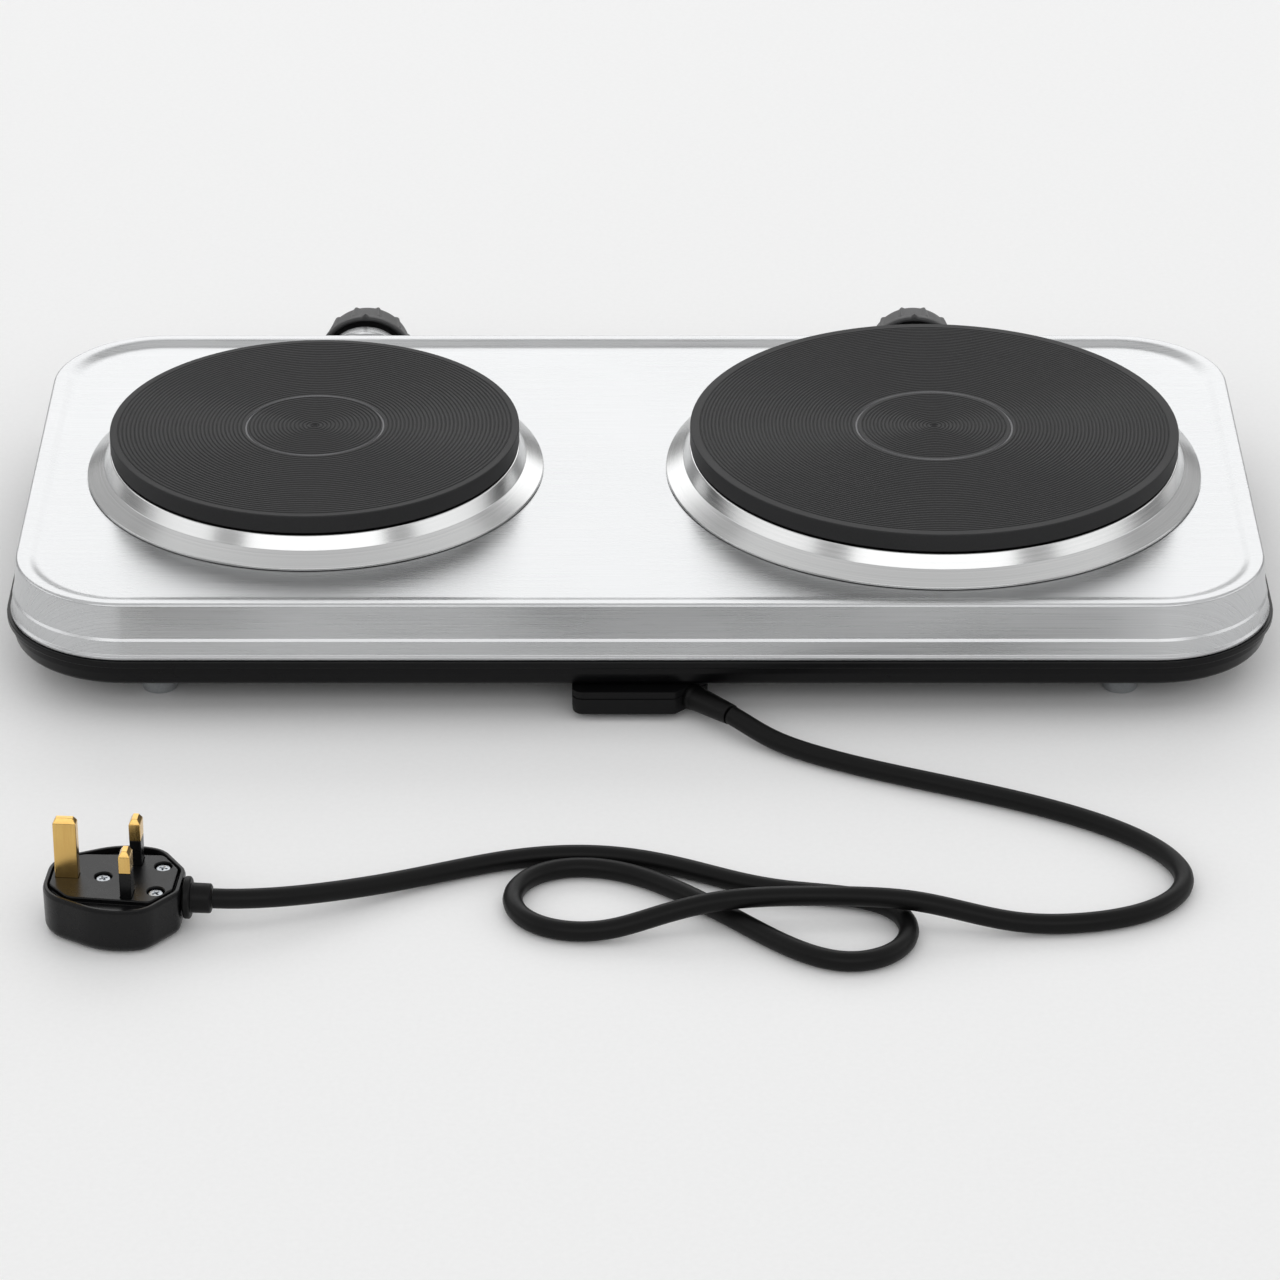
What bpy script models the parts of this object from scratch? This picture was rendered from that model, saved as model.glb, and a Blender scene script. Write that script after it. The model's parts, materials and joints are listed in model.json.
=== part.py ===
"""Twin electric hot plate: a stainless top on a black base pan, two cast-iron plates in spill rings,
two front knobs on thermostats, and a mains cord with a three-pin plug.

Metres, +Z up, the surface it stands on at z = 0. The knobs face -Y and the cord leaves at +Y.
"""

import math

import bmesh
import bpy
from mathutils import Matrix, Vector

# Heights above the standing surface
FOOT_TOP_Z = 0.0122
PAN_BOTTOM_Z = 0.0125
PAN_FLOOR_Z = 0.0139
PAN_RIM_Z = 0.0234
COVER_EDGE_Z = 0.0237
COVER_UNDER_Z = 0.0422
COVER_TOP_Z = 0.0431
CREST_Z = 0.0451
PLATE_TOP_Z = 0.0610

# Plan of the body, measured on the crest of the raised rim
CREST_HALF_X = 0.2277
CREST_HALF_Y = 0.1145
CREST_CORNER_R = 0.0400
CORNER_STEPS = 6

# Plates, seen from above: name, centre x, radius, radius of the turned ring mark
PLATES = (("small", 0.1233, 0.0775, 0.0260), ("large", -0.1115, 0.0925, 0.0295))
PLATE_SEGMENTS = 48

# Controls, in a line along y at each knob
KNOB_X = 0.1100
KNOB_Z = 0.0280
KNOB_BACK_Y = 0.1278
KNOB_FRONT_Y = 0.1448
KNOB_BACK_R = 0.0200
KNOB_FRONT_R = 0.0165
KNOB_RIBS = 12
SHAFT_R = 0.0030
BOSS_R = 0.0163
BOSS_FACE_Y = 0.1260
LAMP_X = 0.0700
LAMP_Z = 0.0365

# Terminal box under the rear edge, with its cut corner
BOX_HALF_X = 0.02475
BOX_FRONT_Y = 0.0790
BOX_REAR_Y = 0.1228
BOX_BOTTOM_Z = 0.0026
BOX_CUT = 0.0120

# The body's centre stands off the origin, so that the origin is the middle of knobs and box
BODY_Y = (KNOB_FRONT_Y - BOX_REAR_Y) / 2

# Cord and its moulded bush
CORD_R = 0.0035
CORD_STEP = 0.0118
BUSH_Z = 0.0075
BUSH_LENGTH = 0.0200

# The plug lies on its back: its origin is midway between the two short pins
PLUG_X = 0.1727
PLUG_Y = 0.2759
PLUG_TURN = math.radians(175.5)
PLUG_FACE_Z = 0.0175
PLUG_CORD_Z = 0.0105
PIN_SPACING = 0.02222
EARTH_PIN_LENGTH = 0.02273
SHORT_PIN_LENGTH = 0.0177
SLEEVE_LENGTH = 0.0095
GRIP_END = 0.0270

# Fixings and sheet
STUD_R = 0.0030
STRAP_Z = 0.0374
SHEET = 0.0009
SHEET_STRAP = 0.0016
OPENING_INSET = 0.0060
LAMP_R = 0.0038
FOOT_X = 0.1770
FOOT_Y = 0.0950
VENTS = 6

# Clearance between pieces that touch, and the angle that stays a sharp edge when shaded
GAP = 0.0003
SHARP_ANGLE = math.radians(35)

# The route of the cord on the standing surface, from the bush to the plug
CORD_ROUTE = (
    (-0.0333, 0.1423, 0.0074), (-0.0385, 0.1473, 0.0065), (-0.0458, 0.1537, 0.0047),
    (-0.0560, 0.1610, 0.0037), (-0.0750, 0.1718, 0.0035), (-0.0975, 0.1820, 0.0035),
    (-0.1210, 0.1920, 0.0035), (-0.1445, 0.2033, 0.0035), (-0.1660, 0.2170, 0.0035),
    (-0.1820, 0.2330, 0.0035), (-0.1900, 0.2510, 0.0035), (-0.1840, 0.2675, 0.0035),
    (-0.1690, 0.2785, 0.0035), (-0.1490, 0.2835, 0.0035), (-0.1290, 0.2840, 0.0038),
    (-0.1100, 0.2820, 0.0078), (-0.0920, 0.2795, 0.0114), (-0.0690, 0.2778, 0.0114),
    (-0.0470, 0.2778, 0.0114), (-0.0260, 0.2800, 0.0112), (-0.0070, 0.2840, 0.0078),
    (0.0080, 0.2880, 0.0041), (0.0230, 0.2895, 0.0035), (0.0390, 0.2830, 0.0035),
    (0.0460, 0.2665, 0.0035), (0.0390, 0.2500, 0.0035), (0.0230, 0.2435, 0.0035),
    (0.0060, 0.2470, 0.0035), (-0.0090, 0.2570, 0.0035), (-0.0235, 0.2705, 0.0035),
    (-0.0380, 0.2860, 0.0035), (-0.0530, 0.3015, 0.0035), (-0.0700, 0.3105, 0.0035),
    (-0.0870, 0.3035, 0.0035), (-0.0935, 0.2870, 0.0035), (-0.0870, 0.2705, 0.0035),
    (-0.0700, 0.2635, 0.0035), (-0.0510, 0.2615, 0.0035), (-0.0340, 0.2555, 0.0035),
    (-0.0170, 0.2460, 0.0035), (0.0020, 0.2380, 0.0035), (0.0220, 0.2352, 0.0035),
    (0.0440, 0.2385, 0.0035), (0.0660, 0.2475, 0.0036), (0.0880, 0.2585, 0.0047),
    (0.1080, 0.2690, 0.0074), (0.1250, 0.2763, 0.0097), (0.1385, 0.2785, 0.0105), (0.1453, 0.2780, 0.0105),
)

# Surface finishes: colour, roughness, metallic
FINISHES = {
    "stainless": ((0.74, 0.75, 0.76), 0.28, 1.0),
    "zinc_steel": ((0.62, 0.63, 0.64), 0.38, 1.0),
    "cast_iron": ((0.040, 0.040, 0.042), 0.62, 0.3),
    "black_enamel": ((0.012, 0.012, 0.013), 0.32, 0.0),
    "black_plastic": ((0.015, 0.015, 0.016), 0.42, 0.0),
    "black_pvc": ((0.012, 0.012, 0.012), 0.48, 0.0),
    "ceramic": ((0.80, 0.77, 0.70), 0.65, 0.0),
    "element": ((0.42, 0.40, 0.37), 0.85, 0.0),
    "clear_rubber": ((0.66, 0.68, 0.70), 0.35, 0.0),
    "brass": ((0.80, 0.58, 0.24), 0.26, 1.0),
    "lamp_red": ((0.60, 0.05, 0.03), 0.18, 0.0),
    "wire_brown": ((0.20, 0.07, 0.03), 0.50, 0.0),
    "wire_blue": ((0.04, 0.12, 0.45), 0.50, 0.0),
    "wire_earth": ((0.22, 0.45, 0.06), 0.50, 0.0),
}


# ---------------------------------------------------------------- scene helpers

def clear_scene():
    for obj in list(bpy.data.objects):
        bpy.data.objects.remove(obj, do_unlink=True)


def finish_for(name, finish):
    colour, roughness, metallic = FINISHES[finish]
    material = bpy.data.materials.new(name)
    material.use_nodes = True
    shader = material.node_tree.nodes["Principled BSDF"]
    shader.inputs["Base Color"].default_value = (*colour, 1.0)
    shader.inputs["Roughness"].default_value = roughness
    shader.inputs["Metallic"].default_value = metallic
    material.diffuse_color = (*colour, 1.0)
    return material


def add_frame(name, location, rotation=(0.0, 0.0, 0.0), parent=None):
    empty = bpy.data.objects.new(name, None)
    empty.location = location
    empty.rotation_euler = rotation
    empty.parent = parent
    bpy.context.collection.objects.link(empty)
    return empty


def add_object(name, bm, finish, parent):
    """Turn a bmesh into a named object. With no finish it is a cutting or joining tool."""
    bmesh.ops.remove_doubles(bm, verts=bm.verts, dist=1e-6)
    bmesh.ops.recalc_face_normals(bm, faces=bm.faces)
    mesh = bpy.data.meshes.new(name)
    bm.to_mesh(mesh)
    bm.free()
    obj = bpy.data.objects.new(name, mesh)
    obj.parent = parent
    bpy.context.collection.objects.link(obj)
    mesh.shade_smooth()
    mesh.set_sharp_from_angle(angle=SHARP_ANGLE)
    if finish is None:
        obj.hide_render = True
        obj.display_type = "WIRE"
    else:
        mesh.materials.append(finish_for(name, finish))
    return obj


def combine(obj, tool, operation):
    modifier = obj.modifiers.new(tool.name, "BOOLEAN")
    modifier.operation = operation
    modifier.solver = "EXACT"
    modifier.object = tool


def cut(obj, *tools):
    for tool in tools:
        combine(obj, tool, "DIFFERENCE")


def join(obj, *tools):
    for tool in tools:
        combine(obj, tool, "UNION")


# ---------------------------------------------------------------- shape helpers

def loft(name, rings, finish, parent):
    """A closed solid through rings with equal numbers of points, with a flat cap at each end."""
    bm = bmesh.new()
    rows = [[bm.verts.new(point) for point in ring] for ring in rings]
    count = len(rows[0])
    for lower, upper in zip(rows, rows[1:]):
        for i in range(count):
            j = (i + 1) % count
            bm.faces.new((lower[i], lower[j], upper[j], upper[i]))
    bm.faces.new(rows[0])
    bm.faces.new(list(reversed(rows[-1])))
    bmesh.ops.connect_verts_nonplanar(bm, angle_limit=math.radians(0.1), faces=bm.faces)
    return add_object(name, bm, finish, parent)


def turned(name, profile, segments, finish, parent, closed=False):
    """A profile of (radius, height) spun about the local z axis."""
    bm = bmesh.new()
    verts = [bm.verts.new((radius, 0.0, height)) for radius, height in profile]
    pairs = list(zip(verts, verts[1:]))
    if closed:
        pairs.append((verts[-1], verts[0]))
    edges = [bm.edges.new(pair) for pair in pairs]
    bmesh.ops.spin(
        bm, geom=verts + edges, cent=(0, 0, 0), axis=(0, 0, 1),
        angle=math.tau, steps=segments, use_merge=True,
    )
    return add_object(name, bm, finish, parent)


def drum(name, radius, low, high, segments, finish, parent, centre=(0.0, 0.0)):
    """A plain round bar along the local z axis."""
    rings = [
        [(centre[0] + x, centre[1] + y, z) for x, y in circle(radius, segments)]
        for z in (low, high)
    ]
    return loft(name, rings, finish, parent)


def block(name, low, high, finish, parent, bevel=0.0):
    """A box between two corners, with its edges eased by a bevel."""
    bm = bmesh.new()
    bmesh.ops.create_cube(bm, size=1.0)
    for vert in bm.verts:
        vert.co = Vector([a + (b - a) * (c + 0.5) for a, b, c in zip(low, high, vert.co)])
    if bevel:
        bmesh.ops.bevel(bm, geom=bm.edges[:], offset=bevel, segments=1, affect="EDGES")
    return add_object(name, bm, finish, parent)


def circle(radius, segments):
    return [
        (radius * math.cos(math.tau * i / segments), radius * math.sin(math.tau * i / segments))
        for i in range(segments)
    ]


def rounded_outline(corners, steps, inset=0.0):
    """Points round a polygon whose corners (x, y, radius) are arcs, drawn in evenly by an inset."""
    outline = []
    count = len(corners)
    for i, (x, y, radius) in enumerate(corners):
        here = Vector((x, y))
        before = (Vector(corners[i - 1][:2]) - here).normalized()
        after = (Vector(corners[(i + 1) % count][:2]) - here).normalized()
        half = before.angle(after) / 2
        centre = here + (before + after).normalized() * (radius / math.sin(half))
        reach = radius / math.tan(half)
        start = (here + before * reach - centre) * (1 - inset / radius)
        sweep = start.angle_signed(here + after * reach - centre)
        for k in range(steps + 1):
            turn = -sweep * k / steps
            cos, sin = math.cos(turn), math.sin(turn)
            outline.append((
                centre.x + start.x * cos - start.y * sin,
                centre.y + start.x * sin + start.y * cos,
            ))
    return outline


def at_height(outline, z):
    return [(x, y, z) for x, y in outline]


def body_ring(outset, z):
    """The plan of the body, moved out from the crest line, at one height."""
    half_x = CREST_HALF_X + outset
    half_y = CREST_HALF_Y + outset
    radius = CREST_CORNER_R + outset
    corners = [
        (half_x, -half_y, radius), (half_x, half_y, radius),
        (-half_x, half_y, radius), (-half_x, -half_y, radius),
    ]
    return at_height(rounded_outline(corners, CORNER_STEPS), z)


def smooth_route(points, step):
    """Even points along the cubic B-spline that a list of hand-placed points pulls into shape."""
    points = [Vector(point) for point in points]
    points = [2 * points[0] - points[1]] + points + [2 * points[-1] - points[-2]]
    fine = []
    for a, b, c, d in zip(points, points[1:], points[2:], points[3:]):
        for k in range(16):
            t = k / 16
            fine.append((
                a * (1 - t) ** 3
                + b * (3 * t ** 3 - 6 * t ** 2 + 4)
                + c * (-3 * t ** 3 + 3 * t ** 2 + 3 * t + 1)
                + d * t ** 3
            ) / 6)
    fine.append(points[-2])
    lengths = [0.0]
    for first, second in zip(fine, fine[1:]):
        lengths.append(lengths[-1] + (second - first).length)
    count = round(lengths[-1] / step)
    even = []
    place = 0
    for k in range(count + 1):
        target = lengths[-1] * k / count
        while place < len(fine) - 2 and lengths[place + 1] < target:
            place += 1
        share = (target - lengths[place]) / (lengths[place + 1] - lengths[place])
        even.append(fine[place].lerp(fine[place + 1], share))
    return even


def round_wire(name, route, radius, finish, parent, step, resolution=2):
    """A round tube along a route, as a poly curve with filled ends."""
    points = smooth_route(route, step)
    curve = bpy.data.curves.new(name, "CURVE")
    curve.dimensions = "3D"
    curve.bevel_depth = radius
    curve.bevel_resolution = resolution
    curve.use_fill_caps = True
    spline = curve.splines.new("POLY")
    spline.points.add(len(points) - 1)
    for slot, point in zip(spline.points, points):
        slot.co = (*point, 1.0)
    curve.materials.append(finish_for(name, finish))
    obj = bpy.data.objects.new(name, curve)
    obj.parent = parent
    bpy.context.collection.objects.link(obj)
    return obj


# ---------------------------------------------------------------- the two shells

COVER_OUTSIDE = (
    (0.0051, COVER_EDGE_Z), (0.0050, 0.0248), (0.0045, 0.0256), (0.0042, 0.0308),
    (0.0036, 0.0318), (0.0026, 0.0430), (0.0020, 0.0445), (0.0010, CREST_Z),
    (-0.0022, CREST_Z), (-0.0034, 0.0444), (-0.0052, COVER_TOP_Z),
)
COVER_INSIDE = (
    (-0.0056, COVER_UNDER_Z), (-0.0030, 0.0440), (0.0006, 0.0441), (0.0017, 0.0428),
    (0.0029, 0.0310), (0.0035, 0.0300), (0.0041, COVER_EDGE_Z),
)
PAN_OUTSIDE = (
    (-0.0008, PAN_BOTTOM_Z), (0.0014, 0.0130), (0.0032, 0.0147), (0.0044, 0.0178),
    (0.0048, 0.0208), (0.0062, 0.0212), (0.0065, 0.0217), (0.0065, 0.0230),
    (0.0062, PAN_RIM_Z),
)
PAN_INSIDE = (
    (0.0030, PAN_RIM_Z), (0.0030, 0.0200), (0.0024, 0.0176), (0.0010, 0.0150),
    (-0.0012, PAN_FLOOR_Z),
)


def boss_outline(radius, low, high):
    """The round outline of a control boss, cut level at a low and a high line."""
    outline = []
    for x, y in circle(radius, 32):
        height = min(max(y, low), high)
        reach = math.sqrt(radius ** 2 - height ** 2)
        outline.append((min(max(x, -reach), reach), height))
    return outline


def build_boss(shell, control, low, high):
    """Raise one height band of the round control boss from a shell, and hollow it."""
    outside = boss_outline(BOSS_R, low, high)
    inside = boss_outline(BOSS_R - SHEET, PAN_FLOOR_Z - KNOB_Z + GAP, BOSS_R - SHEET)
    join(shell, loft(f"{shell.name}_boss", [
        at_height(outside, CREST_HALF_Y + 0.0012), at_height(outside, BOSS_FACE_Y),
    ], None, control))
    cut(shell, loft(f"{shell.name}_boss_hollow", [
        at_height(inside, CREST_HALF_Y - 0.0010), at_height(inside, BOSS_FACE_Y - SHEET),
    ], None, control))


def build_top_cover(body, controls, lamps):
    rings = [body_ring(outset, z) for outset, z in COVER_INSIDE + COVER_OUTSIDE]
    cover = loft("top_cover", rings, "stainless", body)
    for name, x, radius, _mark in PLATES:
        cut(cover, drum(
            f"cut_{name}_opening", radius - OPENING_INSET, 0.040, 0.050, PLATE_SEGMENTS,
            None, body, (x, 0.0),
        ))
    for control in controls:
        build_boss(cover, control, COVER_EDGE_Z - KNOB_Z + 0.0002, BOSS_R)
        cut(cover, drum("cut_shaft_hole", SHAFT_R + 0.0007, 0.120, 0.130, 16, None, control))
    for lamp in lamps:
        cut(cover, drum("cut_lamp_hole", LAMP_R + 0.0004, 0.110, 0.125, 16, None, lamp))


def build_base_pan(body, controls):
    rings = [body_ring(outset, z) for outset, z in PAN_OUTSIDE + PAN_INSIDE]
    pan = loft("base_pan", rings, "black_enamel", body)
    for control in controls:
        build_boss(pan, control, PAN_BOTTOM_Z - KNOB_Z + GAP, PAN_RIM_Z - KNOB_Z - 0.0002)
    cut(pan, slots("cut_vents", body), foot_bores("cut_foot_screws", body))
    cut(pan, block("cut_cord_window", (-0.016, 0.084, 0.010), (0.016, 0.106, 0.016), None, body))


def slots(name, body):
    """Two rows of narrow vents in the floor of the pan, one under each plate."""
    bm = bmesh.new()
    for _plate, x, _radius, _mark in PLATES:
        for i in range(VENTS):
            bmesh.ops.create_cube(bm, size=1.0, matrix=Matrix.LocRotScale(
                Vector((x + (i - (VENTS - 1) / 2) * 0.009, 0.0, PAN_BOTTOM_Z)),
                None, Vector((0.003, 0.050, 0.010)),
            ))
    return add_object(name, bm, None, body)


def foot_bores(name, body):
    bm = bmesh.new()
    for x, y in foot_places():
        bmesh.ops.create_cone(
            bm, cap_ends=True, segments=12, radius1=0.0021, radius2=0.0021, depth=0.010,
            matrix=Matrix.Translation((x, y, PAN_BOTTOM_Z)),
        )
    return add_object(name, bm, None, body)


def foot_places():
    return [(sx * FOOT_X, sy * FOOT_Y) for sx in (1, -1) for sy in (1, -1)]


# ---------------------------------------------------------------- plates

def build_hotplate(name, x, radius, mark, body):
    """One plate with its spill ring and what hangs under it, about its own vertical axis."""
    centre = add_frame(f"{name}_plate_centre", (x, 0.0, 0.0), parent=body)
    turned(f"{name}_plate", [
        (0.0, PLATE_TOP_Z), (mark - 0.0006, PLATE_TOP_Z), (mark - 0.0004, PLATE_TOP_Z - 0.0006),
        (mark + 0.0004, PLATE_TOP_Z - 0.0006), (mark + 0.0006, PLATE_TOP_Z),
        (radius - 0.0010, PLATE_TOP_Z), (radius, PLATE_TOP_Z - 0.0010), (radius, 0.0543),
        (radius - 0.0005, 0.0538), (radius - 0.0052, 0.0538), (radius - 0.0054, 0.0476),
        (radius - 0.0086, 0.0476), (radius - 0.0092, 0.0552), (0.0120, 0.0552),
        (0.0116, 0.0466), (STUD_R + GAP, 0.0466), (STUD_R + GAP, 0.0546), (0.0, 0.0546),
    ], PLATE_SEGMENTS, "cast_iron", centre)
    turned(f"{name}_spill_ring", [
        (radius - 0.0044, 0.0532), (radius - 0.0004, 0.0532), (radius + 0.0003, 0.0526),
        (radius + 0.0027, 0.0484), (radius + 0.0034, 0.0478), (radius + 0.0092, 0.0440),
        (radius + 0.0092, 0.0434), (radius + 0.0080, 0.0434), (radius + 0.0021, 0.0474),
        (radius - 0.0006, 0.0524), (radius - 0.0044, 0.0524),
    ], PLATE_SEGMENTS, "stainless", centre, closed=True)
    turned(f"{name}_heating_element", [
        (0.0160, 0.0549), (radius - 0.0130, 0.0549), (radius - 0.0130, 0.0502), (0.0160, 0.0502),
    ], 32, "element", centre, closed=True)
    turned(f"{name}_element_cover", [
        (0.0122, 0.0490), (radius - 0.0098, 0.0490), (radius - 0.0098, 0.0482), (0.0122, 0.0482),
    ], 32, "zinc_steel", centre, closed=True)
    drum(f"{name}_stud", STUD_R, 0.0300, 0.0543, 12, "zinc_steel", centre)
    turned(f"{name}_stud_nut", [
        (0.0038, STRAP_Z - GAP), (0.0060, STRAP_Z - GAP), (0.0060, STRAP_Z - 0.0050),
        (0.0038, STRAP_Z - 0.0050),
    ], 6, "zinc_steel", centre, closed=True)
    build_strap(name, radius, centre)
    block(
        f"{name}_plate_terminal", (-0.0150, 0.0220, 0.0406), (0.0150, 0.0350, 0.0478),
        "ceramic", centre, bevel=0.0010,
    )


def build_strap(name, radius, centre):
    """A cranked strap that the stud pulls up against the underside of the cover."""
    bend = radius - 0.016
    seat = COVER_UNDER_Z - GAP
    half = [(radius, seat), (bend, seat), (bend - 0.004, STRAP_Z + SHEET_STRAP)]
    top = half + [(-x, z) for x, z in reversed(half)]
    outline = top + [(x, z - SHEET_STRAP) for x, z in reversed(top)]
    rings = [[(x, y, z) for x, z in outline] for y in (-0.009, 0.009)]
    strap = loft(f"{name}_bridge_strap", rings, "zinc_steel", centre)
    cut(strap, drum("cut_stud", STUD_R + 0.0005, STRAP_Z - 0.002, STRAP_Z + 0.004, 12, None, centre))


# ---------------------------------------------------------------- controls

def knob_ring(radius, rib, nub, z):
    """One section of the knob: equal ribs round it, with a nub at the top between two of them."""
    ring = []
    pitch = 360 / KNOB_RIBS
    for i in range(KNOB_RIBS):
        middle = (i + 0.5) * pitch
        for turn, lift in ((-4.0, 0.0), (-2.2, rib), (2.2, rib), (4.0, 0.0), (pitch / 2, 0.0)):
            angle = math.radians(middle + turn)
            is_top = abs(middle + turn - 90.0) < 1.0
            reach = radius + (nub if is_top else lift)
            ring.append((reach * math.cos(angle), reach * math.sin(angle), z))
    return ring


def build_control(name, axis):
    """Knob, shaft and thermostat in line. The local z axis is the knob's axis, pointing out."""
    knob = loft(f"{name}_knob", [
        knob_ring(KNOB_BACK_R - 0.0005, 0.0006, 0.0009, KNOB_BACK_Y),
        knob_ring(KNOB_BACK_R, 0.0008, 0.0012, KNOB_BACK_Y + 0.0008),
        knob_ring(KNOB_BACK_R - 0.0005, 0.0008, 0.0010, KNOB_BACK_Y + 0.0032),
        knob_ring(KNOB_BACK_R - 0.0008, 0.0008, 0.0, KNOB_BACK_Y + 0.0044),
        knob_ring(KNOB_FRONT_R + 0.0004, 0.0008, 0.0, KNOB_FRONT_Y - 0.0020),
        knob_ring(KNOB_FRONT_R - 0.0008, 0.0004, 0.0, KNOB_FRONT_Y),
        knob_ring(KNOB_FRONT_R - 0.0030, 0.0, 0.0, KNOB_FRONT_Y),
        knob_ring(KNOB_FRONT_R - 0.0038, 0.0, 0.0, KNOB_FRONT_Y - 0.0006),
    ], "black_plastic", axis)
    cut(knob, turned(f"cut_{name}_skirt", [
        (0.0056, KNOB_BACK_Y - 0.0020), (KNOB_BACK_R - 0.0018, KNOB_BACK_Y - 0.0020),
        (0.0160, KNOB_BACK_Y + 0.0100), (0.0056, KNOB_BACK_Y + 0.0100),
    ], 32, None, axis, closed=True))
    cut(knob, drum(f"cut_{name}_knob_bore", SHAFT_R + GAP, KNOB_BACK_Y - 0.002, KNOB_BACK_Y + 0.0140,
                   12, None, axis))
    drum(f"{name}_thermostat_shaft", SHAFT_R, 0.1045, KNOB_BACK_Y + 0.0136, 12, "zinc_steel", axis)
    body = block(f"{name}_thermostat", (-0.009, -0.009, 0.1000), (0.009, 0.009, 0.1246),
                 "ceramic", axis, bevel=0.0008)
    cut(body, drum(f"cut_{name}_thermostat_bore", SHAFT_R + 0.0004, 0.1040, 0.1300, 12, None, axis))


def build_lamp(name, axis):
    turned(f"{name}_pilot_lamp", [
        (0.0, 0.1222), (0.0026, 0.1217), (0.0044, 0.1206), (0.0052, 0.1199), (0.0052, 0.1193),
        (LAMP_R, 0.1193), (LAMP_R, 0.1040), (0.0, 0.1040),
    ], 20, "lamp_red", axis)


# ---------------------------------------------------------------- cord entry

def box_ring(inset, z):
    """The plan of the terminal box, drawn in by an inset, with its rear corner cut at 45 degrees."""
    corners = [
        (BOX_HALF_X, BOX_FRONT_Y, 0.0025), (BOX_HALF_X, BOX_REAR_Y, 0.0040),
        (BOX_CUT - BOX_HALF_X, BOX_REAR_Y, 0.0020), (-BOX_HALF_X, BOX_REAR_Y - BOX_CUT, 0.0020),
        (-BOX_HALF_X, BOX_FRONT_Y, 0.0025),
    ]
    return at_height(rounded_outline(corners, 3, inset), z)


def build_cord_entry(body, outlet):
    box = loft("terminal_box", [
        box_ring(0.0016, BOX_BOTTOM_Z), box_ring(0.0005, BOX_BOTTOM_Z + 0.0006),
        box_ring(0.0, BOX_BOTTOM_Z + 0.0018), box_ring(0.0, FOOT_TOP_Z),
    ], "black_plastic", body)
    cut(box, loft("cut_box_hollow", [box_ring(0.0014, 0.0038), box_ring(0.0014, 0.0113)], None, body))
    cut(box, block("cut_box_window", (-0.0155, 0.0845, 0.0100), (0.0155, 0.1055, 0.0140), None, body))
    cut(box, drum("cut_box_outlet", 0.0043, -0.0060, 0.0040, 16, None, outlet))
    turned("cord_bush", [
        (0.0, -0.0060), (0.0034, -0.0060), (0.0034, -0.0018), (0.0040, -0.0018), (0.0040, 0.0003),
        (0.0049, 0.0003), (0.0049, 0.0016), (0.0046, 0.0030), (0.0038, BUSH_LENGTH),
        (0.0, BUSH_LENGTH),
    ], 16, "black_pvc", outlet)
    clamp = block("cord_clamp", (-0.0076, 0.0925, 0.0041), (0.0088, 0.0965, 0.0134),
                  "zinc_steel", body)
    cut(clamp, block("cut_clamp", (-0.0042, 0.0900, 0.0030), (0.0054, 0.1000, 0.0116), None, body))
    block("terminal_block", (0.0240, 0.0840, 0.0143), (0.0520, 0.1000, 0.0260),
          "ceramic", body, bevel=0.0010)
    round_wire("cord_tail", [
        (-0.0143, 0.11235, 0.0075), (-0.0080, 0.1060, 0.0075), (-0.0010, 0.0995, 0.0075),
        (0.0010, 0.0955, 0.0075), (0.0010, 0.0910, 0.0075),
    ], CORD_R, "black_pvc", body, 0.004)


def build_wiring(body):
    live = [(0.0010, 0.0898, 0.0098), (0.0022, 0.0892, 0.0140), (0.0075, 0.0905, 0.0205),
            (0.0145, 0.0925, 0.0232), (0.0236, 0.0925, 0.0232)]
    neutral = [(-0.0014, 0.0898, 0.0062), (-0.0032, 0.0866, 0.0105), (0.0010, 0.0862, 0.0172),
               (0.0130, 0.0868, 0.0192), (0.0236, 0.0872, 0.0195)]
    earth = [(0.0034, 0.0896, 0.0062), (0.0058, 0.0882, 0.0095), (0.0096, 0.0902, 0.0150),
             (0.0150, 0.0950, 0.0175), (0.0236, 0.0965, 0.0178)]
    small = [(0.0528, 0.0920, 0.0200), (0.0660, 0.0880, 0.0195), (0.0740, 0.0560, 0.0180),
             (0.0800, 0.0, 0.0170), (0.0920, -0.0560, 0.0180), (0.1050, -0.0860, 0.0230),
             (0.1100, -0.0990, 0.0260)]
    large = [(0.0380, 0.0832, 0.0180), (0.0350, 0.0680, 0.0175), (0.0, 0.0400, 0.0170),
             (-0.0500, 0.0, 0.0170), (-0.0880, -0.0560, 0.0180), (-0.1050, -0.0860, 0.0230),
             (-0.1100, -0.0990, 0.0260)]
    for name, route, finish, step in (
        ("live_wire", live, "wire_brown", 0.005), ("neutral_wire", neutral, "wire_blue", 0.005),
        ("earth_wire", earth, "wire_earth", 0.005), ("small_plate_lead", small, "wire_brown", 0.016),
        ("large_plate_lead", large, "wire_brown", 0.016),
    ):
        round_wire(name, route, 0.0011, finish, body, step, resolution=1)


# ---------------------------------------------------------------- feet

def build_foot(name, x, y, body):
    place = add_frame(f"{name}_place", (x, y, 0.0), parent=body)
    turned(f"foot_{name}", [
        (0.0022, FOOT_TOP_Z), (0.0056, FOOT_TOP_Z), (0.0065, 0.0095), (0.0065, 0.0018),
        (0.0060, 0.0), (0.0042, 0.0), (0.0042, 0.0034), (0.0022, 0.0034),
    ], 20, "clear_rubber", place, closed=True)
    turned(f"foot_screw_{name}", [
        (0.0, 0.0015), (0.0036, 0.0015), (0.0038, 0.0022), (0.0038, 0.0031), (0.0017, 0.0031),
        (0.0017, 0.0170), (0.0, 0.0170),
    ], 12, "zinc_steel", place)


# ---------------------------------------------------------------- plug

def mirrored(half):
    """The corners of one side of an outline, and their mirror images across the x axis."""
    return [(x, -y, radius) for x, y, radius in half] + list(reversed(half))


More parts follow.
